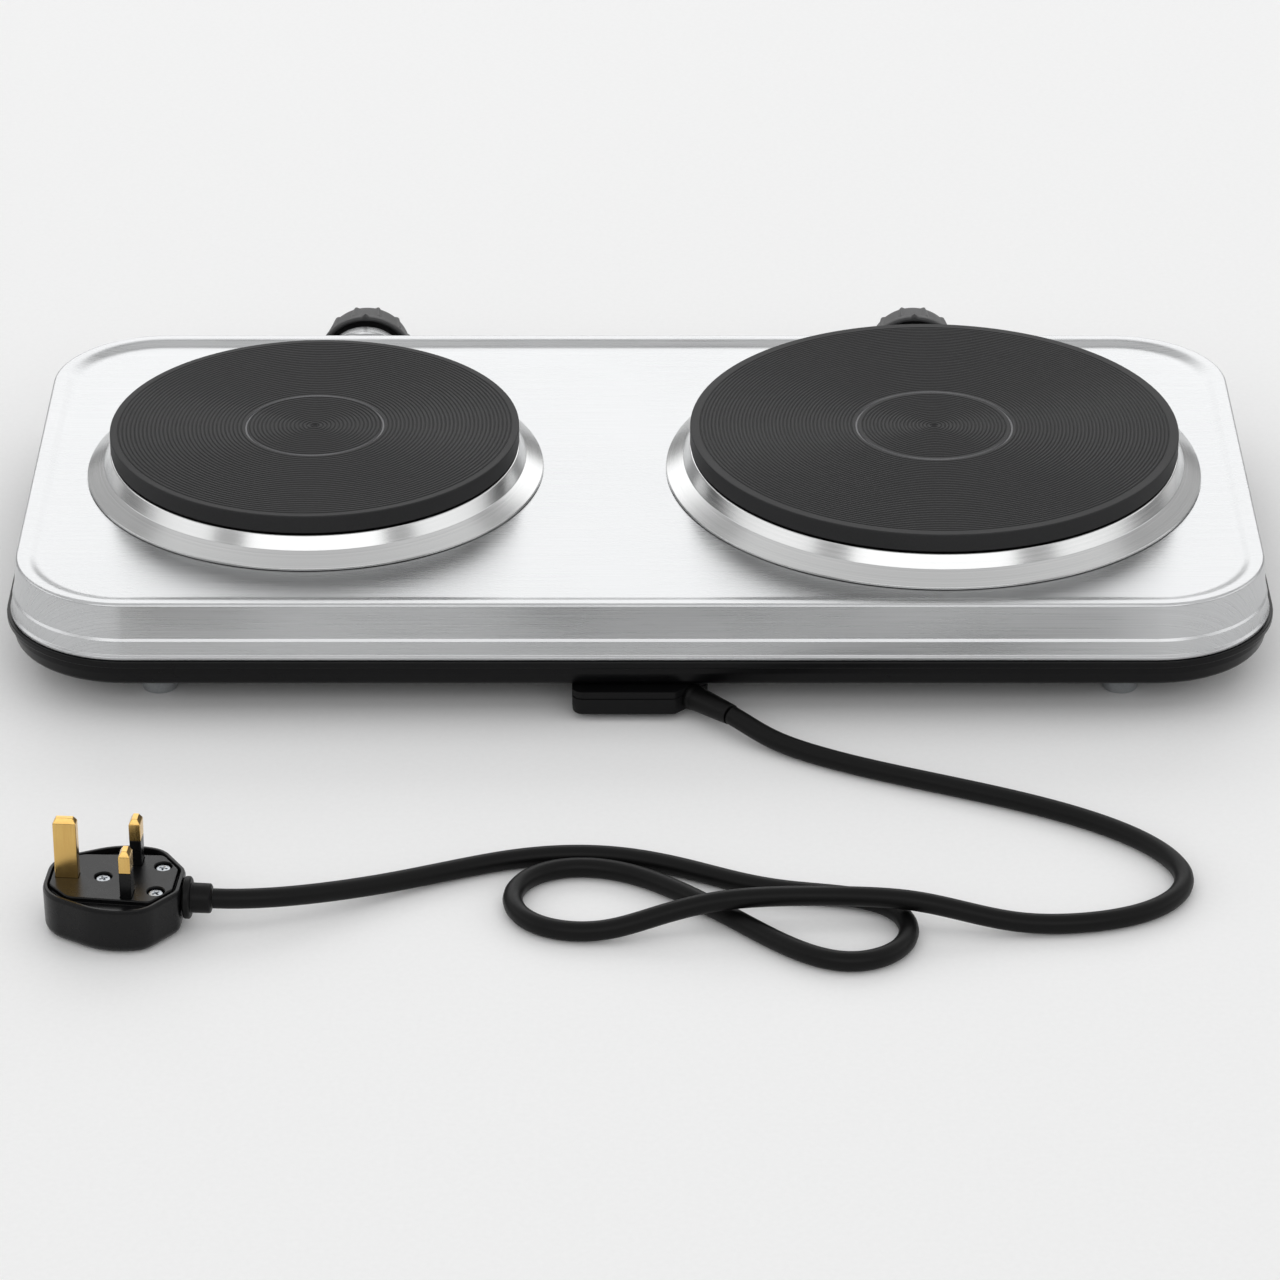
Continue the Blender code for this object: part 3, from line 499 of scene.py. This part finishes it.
topCover = {
    "outside": (
        (0.0051, 0.0237, 0), (0.0051, 0.0247, 0.0004), (0.0043, 0.0255, 0.0005), (0.0041, 0.0307, 0.0005),
        (0.0034, 0.0317, 0.0005), (0.0023, 0.0451, 0.0013), (-0.0022, 0.0451, 0.0060),
        (-0.0062, 0.0431, 0.0070), (-0.0090, 0.0431, 0),
    ),
    "inside": (
        (-0.0090, 0.0422, 0), (-0.0046, 0.0422, 0.0006), (-0.0023, 0.0441, 0.0006), (0.0013, 0.0441, 0.0006),
        (0.0028, 0.0310, 0.0005), (0.0035, 0.0300, 0.0005), (0.0041, 0.0237, 0),
    ),
    "openingInset": 0.006, "shaftHole": 0.0037, "lampHole": 0.0042,  # radii
}
profile = filletPath(topCover["inside"], 3) + filletPath(topCover["outside"], 6)
coverPiece = meshObject("topCover", loftMesh([bodyRing(outset, height) for outset, height in profile]))
bosses = []
for place in controlPlaces.values():
    axisZ = place.translation.z
    bosses.append(bossTool("boss", place, coverLow.z + seamGap - axisZ, boss["top"] - axisZ))
carve(coverPiece, bosses, "UNION")
tools = []
for side in ("small", "large"):
    low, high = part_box(side + "_plate")
    tools.append(drumTool("opening", (high.x - low.x) / 2 - topCover["openingInset"], 0.040, 0.050,
                          Matrix.Translation(((low.x + high.x) / 2, bodyY, 0)), 128))
    tools.append(drumTool("hollow", boss["hollow"], crestHalfY - 0.004, boss["face"] - boss["skin"],
                          controlPlaces[side]))
    tools.append(drumTool("shaftHole", topCover["shaftHole"], 0.120, 0.130, controlPlaces[side], 32))
    tools.append(drumTool("lampHole", topCover["lampHole"], 0.110, 0.125, lampPlaces[side], 32))


def flattenSheet(point, normal):
    # the sheet was brushed flat and then drawn, so its walls fold up level with the top
    outward = Vector((normal.x, normal.y)).normalized() * (coverHigh.z - point.z)
    return point.x + outward.x, point.y + outward.y


unroll(carve(coverPiece, tools), flattenSheet)
placePiece(coverPiece, brushedSteel, "hob", "stainless", "top_cover", sharp=30)

basePan = {
    "outside": (
        (-0.0010, 0.0125, 0), (0.0034, 0.0125, 0.0030), (0.0048, 0.0180, 0.0030), (0.0049, 0.0207, 0.0005),
        (0.0065, 0.0211, 0.0005), (0.0065, 0.0234, 0.0004), (0.0060, 0.0234, 0),
    ),
    "inside": (
        (0.0030, 0.0234, 0), (0.0030, 0.0190, 0.0010), (0.0018, 0.0139, 0.0020), (-0.0012, 0.0139, 0),
    ),
    "vents": 6, "ventPitch": 0.009, "ventHalf": (0.0015, 0.025), "ventEnd": 0.0014,
}
profile = filletPath(basePan["outside"], 6) + filletPath(basePan["inside"], 4)
panPiece = meshObject("basePan", loftMesh([bodyRing(outset, height) for outset, height in profile]))
bosses = []
for place in controlPlaces.values():
    axisZ = place.translation.z
    bosses.append(bossTool("boss", place, bossFloor - axisZ, panHigh.z - seamGap - axisZ))
carve(panPiece, bosses, "UNION")
tools = [drumTool("hollow", boss["hollow"], crestHalfY - 0.001, boss["face"] - boss["skin"], place)
         for place in controlPlaces.values()]
for side in ("small", "large"):
    low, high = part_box(side + "_plate")
    for k in range(basePan["vents"]):
        x = (low.x + high.x) / 2 + (k - (basePan["vents"] - 1) / 2) * basePan["ventPitch"]
        outline = blockPath((x, bodyY), basePan["ventHalf"], basePan["ventEnd"], 6)
        rings = [[(a, b, z) for a, b in outline] for z in (0.010, 0.016)]
        tools.append(meshObject("vent", loftMesh(rings)))
placePiece(carve(panPiece, tools), blackEnamel, "hob", "black_enamel", "base_pan", sharp=35)
print("shells made")

# ---- plates and spill rings

hotplate = {
    "pitch": {"small": 0.00155, "large": 0.00143}, "groove": (0.00048, 0.00036),  # half width, depth
    "mark": {"small": 0.0260, "large": 0.0295}, "markHalf": 0.0006, "markDepth": 0.0005,
    "edge": 0.0005, "border": 0.0010,
}
spillRing = (
    (-0.0044, 0.0532, 0), (0.0000, 0.0532, 0.0007), (0.0025, 0.0482, 0.0005), (0.0033, 0.0477, 0.0004),
    (0.0090, 0.0441, 0.0004), (0.0092, 0.0434, 0), (0.0082, 0.0434, 0), (0.0022, 0.0472, 0.0004),
    (-0.0008, 0.0524, 0.0004), (-0.0044, 0.0524, 0),
)
for side in ("small", "large"):
    low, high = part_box(side + "_plate")
    radius = (high.x - low.x) / 2
    centre = Matrix.Translation(((low.x + high.x) / 2, bodyY, 0))
    top = high.z
    mark = hotplate["mark"][side]
    pitch = hotplate["pitch"][side]
    grooveHalf, grooveDepth = hotplate["groove"]
    profile = [(0.0, top - grooveDepth), (0.0006, top - grooveDepth)]
    grooves = int((radius - hotplate["border"]) / pitch)
    for k in range(1, grooves):
        r = k * pitch
        if abs(r - mark) < pitch * 0.75:
            continue
        profile += [(r - grooveHalf, top), (r, top - grooveDepth), (r + grooveHalf, top)]
    markHalf = hotplate["markHalf"]
    markFloor = top - hotplate["markDepth"]
    profile += [(mark - markHalf, top), (mark - markHalf / 2, markFloor),
                (mark + markHalf / 2, markFloor), (mark + markHalf, top)]
    profile.sort()
    edge = hotplate["edge"]
    profile += filletPath([
        (radius - hotplate["border"], top, 0), (radius, top, edge), (radius, 0.0540, 0.0005),
        (radius - 0.0052, 0.0538, 0.0003),
        (radius - 0.0054, 0.0476, 0.0004), (radius - 0.0086, 0.0476, 0.0004), (radius - 0.0092, 0.0552, 0),
    ], 5) + [(0.0120, 0.0552), (0.0116, 0.0466), (0.0033, 0.0466), (0.0033, 0.0546), (0.0, 0.0546)]
    plate = meshObject(side + "HotPlate", turnMesh(profile, 144), centre)
    placePiece(plate, castIron, "hob", "cast_iron", side + "_plate", sharp=28)
    # the pointer groove's faces take the paler iron, a painted highlight along the mark
    plate.data.materials.append(grooveHighlightIron)
    for polygon in plate.data.polygons:
        fromAxis = (polygon.center - centre.translation).to_2d().length
        inMark = abs(fromAxis - mark) < markHalf and polygon.center.z > top - 0.0010
        polygon.material_index = int(inMark)
    ringPath = filletPath([(radius + outset, height, r) for outset, height, r in spillRing], 5)
    ring = meshObject(side + "SpillRing", turnMesh(ringPath, 160, loop=True), centre)
    unroll(ring, lambda point, normal: ((point - centre.translation).to_2d().length, point.z))
    placePiece(ring, spunSteel, "hob", "stainless", side + "_spill_ring", sharp=32)
print("plates turned")

# ---- knobs and lamps

knob = {
    "ribs": 12, "ribWidth": 3.6, "nubWidth": 4.5, "steps": 240,  # widths in degrees
    # radius, height from the back, rib, nub
    "levels": (
        (0.0033, 0.0140, 0, 0), (0.0033, 0.0004, 0, 0), (0.0037, 0.0, 0, 0), (0.0052, 0.0, 0, 0),
        (0.0056, 0.0004, 0, 0), (0.0057, 0.0100, 0, 0), (0.0156, 0.0100, 0, 0), (0.0160, 0.0094, 0, 0),
        (0.0176, 0.0006, 0, 0), (0.0178, 0.0002, 0, 0), (0.0181, 0.0, 0, 0), (0.0188, 0.0, 0, 0.0004),
        (0.0192, 0.0002, 0, 0.0008), (0.0194, 0.0006, 0, 0.0011), (0.0195, 0.0012, 0, 0.0012),
        (0.0194, 0.0026, 0, 0.0010), (0.0192, 0.0031, 0.0001, 0.0006), (0.0189, 0.0034, 0.0005, 0.0),
        (0.0187, 0.0040, 0.0008, 0), (0.0186, 0.0050, 0.0008, 0), (0.0177, 0.0110, 0.0008, 0),
        (0.0170, 0.0150, 0.0008, 0), (0.0166, 0.0160, 0.0007, 0), (0.0160, 0.0166, 0.0005, 0),
        (0.0152, 0.0169, 0.0002, 0), (0.0144, 0.0170, 0, 0), (0.0137, 0.0170, 0, 0), (0.0132, 0.0168, 0, 0),
        (0.0128, 0.0164, 0, 0), (0.0124, 0.0162, 0, 0),
    ),
    "pointer": (0.0060, 0.0118, 0.0009),
}


def knobRing(radius, height, rib, nub):
    ring = []
    ribPitch = 360 / knob["ribs"]
    for k in range(knob["steps"]):
        angle = 360 * k / knob["steps"]
        fromRib = abs(angle % ribPitch - ribPitch / 2)
        fromTop = abs(angle - 90)
        lift = rib * max(0.0, math.cos(min(fromRib / knob["ribWidth"], 1.0) * math.pi / 2))
        lift += nub * max(0.0, 1.0 - fromTop / knob["nubWidth"])
        turn = math.radians(angle)
        ring.append(((radius + lift) * math.cos(turn), (radius + lift) * math.sin(turn), height))
    return ring


lampProfile = filletPath([
    (0.0, 0.1222, 0), (0.0030, 0.1220, 0.0008), (0.0044, 0.1202, 0.0010), (0.0052, 0.1200, 0.0003),
    (0.0052, 0.1193, 0), (0.0038, 0.1193, 0), (0.0038, 0.1040, 0.0003), (0.0, 0.1040, 0),
], 6)
for side in ("small", "large"):
    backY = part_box(side + "_knob")[1].y
    onShaft = controlPlaces[side] @ Matrix.Translation((0, 0, bodyY - backY))
    bm = loftMesh([knobRing(*level) for level in knob["levels"]])
    knobPiece = meshObject(side + "HeatKnob", bm, onShaft)
    placePiece(knobPiece, phenolic, side + "_control", "black_plastic", side + "_knob", sharp=45)
    near, far, width = knob["pointer"]
    outline = blockPath((0.0, (near + far) / 2), (width / 2, (far - near) / 2), width / 3, 5)
    rings = [[(x, y, z) for x, y in outline] for z in (0.0160, 0.0165)]
    rings.append([(x * 0.8, y + (0.5 * (near + far) - y) * 0.02, 0.0166) for x, y in outline])
    pointer = meshObject(side + "KnobPointer", loftMesh(rings), onShaft)
    placePiece(pointer, whiteInk, side + "_control", "black_plastic")
    lamp = meshObject(side + "PilotLens", turnMesh(lampProfile, 48), lampPlaces[side])
    placePiece(lamp, redLens, "hob", "lamp_red", side + "_pilot_lamp")
print("controls made")

# ---- terminal box and cord bush

terminalBox = {"cut": 0.012, "seam": 0.0094, "outletZ": 0.0075, "screw": (0.0165, 0.0095)}
boxLow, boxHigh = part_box("terminal_box")


def boxRing(inset, height):
    corners = [
        (boxHigh.x, boxLow.y, 0.0025), (boxHigh.x, boxHigh.y, 0.0040),
        (boxLow.x + terminalBox["cut"], boxHigh.y, 0.0020),
        (boxLow.x, boxHigh.y - terminalBox["cut"], 0.0020), (boxLow.x, boxLow.y, 0.0025),
    ]
    return [(x, y, height) for x, y in filletPath(corners, 8, closed=True, inset=inset)]


seam = terminalBox["seam"]
boxProfile = filletPath([
    (0.0024, boxLow.z, 0), (0.0002, boxLow.z, 0.0012), (0.0, boxLow.z + 0.0030, 0.0020),
    (0.0, seam - 0.0003, 0),
], 6) + [(0.0004, seam - 0.0001), (0.0004, seam + 0.0001), (0.0, seam + 0.0003), (0.0, boxHigh.z)]
boxPiece = meshObject("terminalBox", loftMesh([boxRing(inset, height) for inset, height in boxProfile]))
halfCut = terminalBox["cut"] / 2
outlet = Matrix.Translation((boxLow.x + halfCut, boxHigh.y - halfCut, terminalBox["outletZ"]))
outlet = outlet @ Vector((-1, 1, 0)).to_track_quat("Z", "Y").to_matrix().to_4x4()
screwX, screwY = terminalBox["screw"]
boxScrews = [Matrix.Translation((sx * screwX, boxLow.y + screwY, boxLow.z)) @ Matrix.Rotation(math.pi, 4, "X")
             for sx in (1, -1)]
tools = [meshObject("hollow", loftMesh([boxRing(0.0014, 0.0042), boxRing(0.0014, 0.0113)])),
         drumTool("outletHole", 0.0043, -0.006, 0.004, outlet, 32)]
tools += [drumTool("headHole", 0.0031, -0.0012, 0.004, place, 32) for place in boxScrews]
placePiece(carve(boxPiece, tools), sparkBox, "hob", "black_plastic", "terminal_box", sharp=35)

bushProfile = filletPath([
    (0.0, -0.0060, 0), (0.0034, -0.0060, 0), (0.0034, -0.0018, 0), (0.0040, -0.0018, 0), (0.0040, 0.0003, 0),
    (0.0049, 0.0003, 0), (0.0049, 0.0014, 0.0004), (0.0046, 0.0026, 0.0006), (0.0038, 0.0200, 0.0002),
    (0.0, 0.0200, 0),
], 5)
bushPiece = meshObject("cordBush", turnMesh(bushProfile, 48), outlet)
placePiece(bushPiece, pvcSheath, "hob", "black_pvc", "cord_bush")

# ---- feet and screws

footProfile = filletPath([
    (0.0022, 0.0122, 0), (0.0056, 0.0122, 0.0003), (0.0065, 0.0095, 0.0010), (0.0065, 0.0, 0.0007),
    (0.0042, 0.0, 0.0003), (0.0042, 0.0034, 0.0002), (0.0022, 0.0034, 0),
], 6)


def screwMesh(headRadius, headHeight, shankRadius, shankLength):
    # pan head upwards from z = 0, with a cross recess, and its shank below
    profile = filletPath([
        (0.0, headHeight, 0), (headRadius, headHeight, headHeight * 0.45), (headRadius, 0.0, 0),
        (shankRadius, 0.0, 0), (shankRadius, -shankLength, 0), (0.0, -shankLength, 0),
    ], 5)
    screw = meshObject("screw", turnMesh(profile, 40))
    tools = []
    for long, wide in ((0.62, 0.17), (0.17, 0.62)):
        corners = [(headRadius * long * sx, headRadius * wide * sy) for sx, sy in quarters]
        tools.append(meshObject("slot", loftMesh([
            [(x * 0.6, y * 0.6, headHeight * 0.25) for x, y in corners],
            [(x, y, headHeight * 1.2) for x, y in corners],
        ])))
    carve(screw, tools)
    mesh = screw.data
    bpy.data.objects.remove(screw)
    return mesh


def screwPiece(name, mesh, place, *nodes):
    bm = bmesh.new()
    bm.from_mesh(mesh)
    return placePiece(meshObject(name, bm, place), zincSteel, "hob", "zinc_steel", *nodes, sharp=30)


footScrew = screwMesh(0.0037, 0.0016, 0.0017, 0.0139)
for end in ("rear", "front"):
    for side in ("left", "right"):
        low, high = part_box(f"foot_{end}_{side}")
        centre = Matrix.Translation(((low.x + high.x) / 2, (low.y + high.y) / 2, 0))
        foot = meshObject(end + side.capitalize() + "Foot", turnMesh(footProfile, 64, loop=True), centre)
        placePiece(foot, clearRubber, "hob", "clear_rubber", f"foot_{end}_{side}")
        upsideDown = centre @ Matrix.Translation((0, 0, 0.0031)) @ Matrix.Rotation(math.pi, 4, "X")
        screwPiece(end + side.capitalize() + "FootScrew", footScrew, upsideDown, f"foot_screw_{end}_{side}")
boxScrew = screwMesh(0.0028, 0.0010, 0.0012, 0.0010)
for side, place in zip(("left", "right"), boxScrews):
    screwPiece(side + "BoxScrew", boxScrew, place @ Matrix.Translation((0, 0, -0.0012)))
print("box, bush and feet made")

# ---- plug, lying on its back with its pins up; x runs along its cord

plug = {
    "place": Matrix.Translation((0.1727, 0.2759, 0)) @ Matrix.Rotation(math.radians(175.5), 4, "Z"),
    "face": 0.0175, "cordZ": 0.0105,
    "outline": ((-0.0300, 0.0120, 0.0130), (-0.0060, 0.0244, 0.0270), (0.0080, 0.0208, 0.0105),
                (0.0173, 0.0078, 0.0062)),
    "raised": ((-0.0276, 0.0066, 0.0040), (-0.0200, 0.0146, 0.0060), (0.0084, 0.0160, 0.0030),
               (0.0147, 0.0070, 0.0030)),
    "pinSpacing": 0.02222,
}
face = plug["face"]


def plugRing(half, inset, height):
    corners = [(x, -y, r) for x, y, r in half] + list(reversed(half))
    return [(x, y, height) for x, y in filletPath(corners, 12, closed=True, inset=inset)]


coverProfile = filletPath([
    (0.0050, 0.0, 0), (0.0003, 0.0, 0.0038), (0.0, 0.0158, 0.0015), (0.0004, face - 0.0003, 0.0005),
    (0.0016, face - 0.0003, 0.0003), (0.0019, face - 0.0036, 0), (0.0022, 0.0022, 0),
], 6)
shell = meshObject("plugCover", loftMesh([plugRing(plug["outline"], *level) for level in coverProfile]),
                   plug["place"])
cordAxis = plug["place"] @ Matrix.Translation((0, 0, plug["cordZ"])) @ Matrix.Rotation(math.pi / 2, 4, "Y")
carve(shell, [drumTool("outletHole", 0.0050, 0.0120, 0.0200, cordAxis, 48)])
placePiece(shell, ureaPlug, "hob", "black_plastic", "plug_cover", sharp=35)

rings = [plugRing(plug["outline"], 0.0027, 0.0138), plugRing(plug["outline"], 0.0025, face - 0.0023),
         plugRing(plug["outline"], 0.0027, face - 0.0020)]
rings += [plugRing(plug["raised"], inset, height) for inset, height in (
    (-0.0004, face - 0.0018), (-0.0001, face - 0.0016), (0.0, face - 0.0013), (0.0, face - 0.0004),
    (0.0001, face - 0.0002), (0.0003, face - 0.00005), (0.0006, face))]
basePiece = meshObject("plugBase", loftMesh(rings), plug["place"])


def pinRings(centre, half, levels, corner=0.0006, spread=0.0):
    rings = []
    for shrink, height in levels:
        section = (half[0] - shrink + spread, half[1] - shrink + spread)
        outline = blockPath(centre, section, corner, 4)
        rings.append([(x, y, height) for x, y in outline])
    return rings


pins = {
    "earth": {"centre": (-plug["pinSpacing"], 0.0), "half": (0.0040, 0.0020), "length": 0.02273},
    "live": {"centre": (0.0, plug["pinSpacing"] / 2), "half": (0.0020, 0.003175), "length": 0.0177},
    "neutral": {"centre": (0.0, -plug["pinSpacing"] / 2), "half": (0.0020, 0.003175), "length": 0.0177},
}
sleeveTop = face + 0.0095
baseTools = []
for name, pin in pins.items():
    tip = face + pin["length"]
    rings = pinRings(pin["centre"], pin["half"], [(0, 0.010), (0, 0.020)], spread=0.0002)
    baseTools.append(meshObject("pinHole", loftMesh(rings), plug["place"]))
    foot = 0.0045 if name == "earth" else 0.0090
    levels = [(0.0, foot)]
    if name != "earth":
        levels = [(0.0006, foot), (0.0006, sleeveTop + 0.0001), (0.0001, sleeveTop + 0.0001),
                  (0.0, sleeveTop + 0.0003)]
    levels += [(0.0, tip - 0.0021), (0.00015, tip - 0.0017), (0.0009, tip - 0.0004), (0.0011, tip - 0.0001),
               (0.0013, tip)]
    pinPiece = meshObject(name + "Pin", loftMesh(pinRings(pin["centre"], pin["half"], levels, 0.0003)),
                          plug["place"])
    placePiece(pinPiece, brassPin, "hob", "brass", name + "_pin", sharp=25)
    if name != "earth":
        outside = [(0.0, 0.0130), (0.0, sleeveTop - 0.0001), (0.0001, sleeveTop)]
        inside = [(0.0005, sleeveTop), (0.0005, 0.0130)]
        rings = pinRings(pin["centre"], pin["half"], outside)
        rings += pinRings(pin["centre"], pin["half"], inside, 0.0003)
        sleeve = meshObject(name + "PinSleeve", loftMesh(rings, loop=True), plug["place"])
        placePiece(sleeve, ureaPlug, "hob", "black_plastic", name + "_pin_sleeve")

plugScrews = {"middle": (-0.0100, 0.0), "left": (0.0093, 0.0084), "right": (0.0093, -0.0084)}
plugScrew = screwMesh(0.0026, 0.0011, 0.0013, 0.0023)
headHole = [(0.0, face - 0.0022), (0.0030, face - 0.0022), (0.0030, face - 0.0003),
            (0.0036, face + 0.0003), (0.0, face + 0.0003)]
for number, (name, (x, y)) in enumerate(plugScrews.items()):
    place = plug["place"] @ Matrix.Translation((x, y, 0))
    baseTools.append(meshObject("headHole", turnMesh(headHole, 40), place))
    baseTools.append(drumTool("shankHole", 0.0016, 0.010, face, place, 24))
    turned = place @ Matrix.Translation((0, 0, face - 0.0019)) @ Matrix.Rotation(0.5 + 0.9 * number, 4, "Z")
    screwPiece(name + "PlugScrew", plugScrew, turned, "plug_screw_" + name)
placePiece(carve(basePiece, baseTools), ureaPlug, "hob", "black_plastic", "plug_base", sharp=32)

gripProfile = filletPath([
    (0.0, 0.0118, 0), (0.0029, 0.0118, 0), (0.0029, 0.0152, 0), (0.0046, 0.0152, 0), (0.0046, 0.0177, 0),
    (0.0071, 0.0177, 0.0002), (0.0073, 0.0182, 0.0003), (0.0073, 0.0196, 0.0005), (0.0066, 0.0201, 0.0004),
    (0.0052, 0.0202, 0.0004), (0.0051, 0.0266, 0.0005), (0.0045, 0.0270, 0.0002), (0.0, 0.0270, 0),
], 5)
grip = meshObject("plugGrip", turnMesh(gripProfile, 56), cordAxis)
placePiece(grip, pvcSheath, "hob", "black_pvc", "plug_grip")
print("plug made")

# ---- studio: a pale floor, a wide overhead softbox and two upright ones

floorMaterial = makeFinish({
    "name": "paperSeamless", "metallic": 0.0, "light": "#f6f6f6", "dark": "#f3f3f3",
    "roughness": (0.75, 0.85), "grain": (2, 2, 2), "cloud": 900, "bump": 0.02, "depth": 0.05,
})
floorReach = 6.0
floorPiece = meshObject("studioFloor", loftMesh([
    [(sx * floorReach, sy * floorReach, height) for sx, sy in quarters] for height in (-0.02, -0.0001)]))
floorPiece.data.materials.append(floorMaterial)

softboxes = {  # place, aim, size, watts
    "overhead": ((0.0, 0.1, 1.9), (0.0, 0.05, 0.0), (3.4, 2.2), 12.0),
    "beyond": ((0.0, -2.0, 1.15), (0.0, 0.0, 0.05), (3.0, 1.4), 16.5),
    "behindCamera": ((0.0, 2.6, 1.75), (0.0, 0.0, 0.05), (4.2, 1.3), 23.0),
    "leftSide": ((2.2, 0.2, 0.9), (0.0, 0.1, 0.05), (2.6, 1.0), 7.0),
    "rightSide": ((-2.2, 0.2, 0.9), (0.0, 0.1, 0.05), (2.6, 1.0), 7.0),
}
for name, (place, aim, size, watts) in softboxes.items():
    light = bpy.data.lights.new(name, "AREA")
    light.shape = "RECTANGLE"
    light.size, light.size_y = size
    light.energy = watts
    softbox = bpy.data.objects.new(name, light)
    softbox.location = place
    softbox.rotation_euler = (Vector(place) - Vector(aim)).to_track_quat("Z", "Y").to_euler()
    scene.collection.objects.link(softbox)

# the room fades from a dim horizon to a bright band and a softer ceiling, so bent steel shows its edges
world = bpy.data.worlds.new("studioWorld")
world.use_nodes = True
room = world.node_tree
toSky = addNode(room, "ShaderNodeTexCoord", {})
height = addNode(room, "ShaderNodeSeparateXYZ", {}, {0: toSky.outputs["Generated"]})
sky = addNode(room, "ShaderNodeValToRGB", {}, {"Fac": height.outputs["Z"]})
sky.color_ramp.elements[0].color = toLinear("#8a8a8a")
sky.color_ramp.elements[1].color = toLinear("#8c8c8c")
for level, tone in ((0.10, "#8e8e8e"), (0.24, "#c8c8c8"), (0.60, "#c8c8c8")):
    sky.color_ramp.elements.new(level).color = toLinear(tone)
room.links.new(sky.outputs[0], room.nodes["Background"].inputs["Color"])
scene.world = world
print("studio lit")
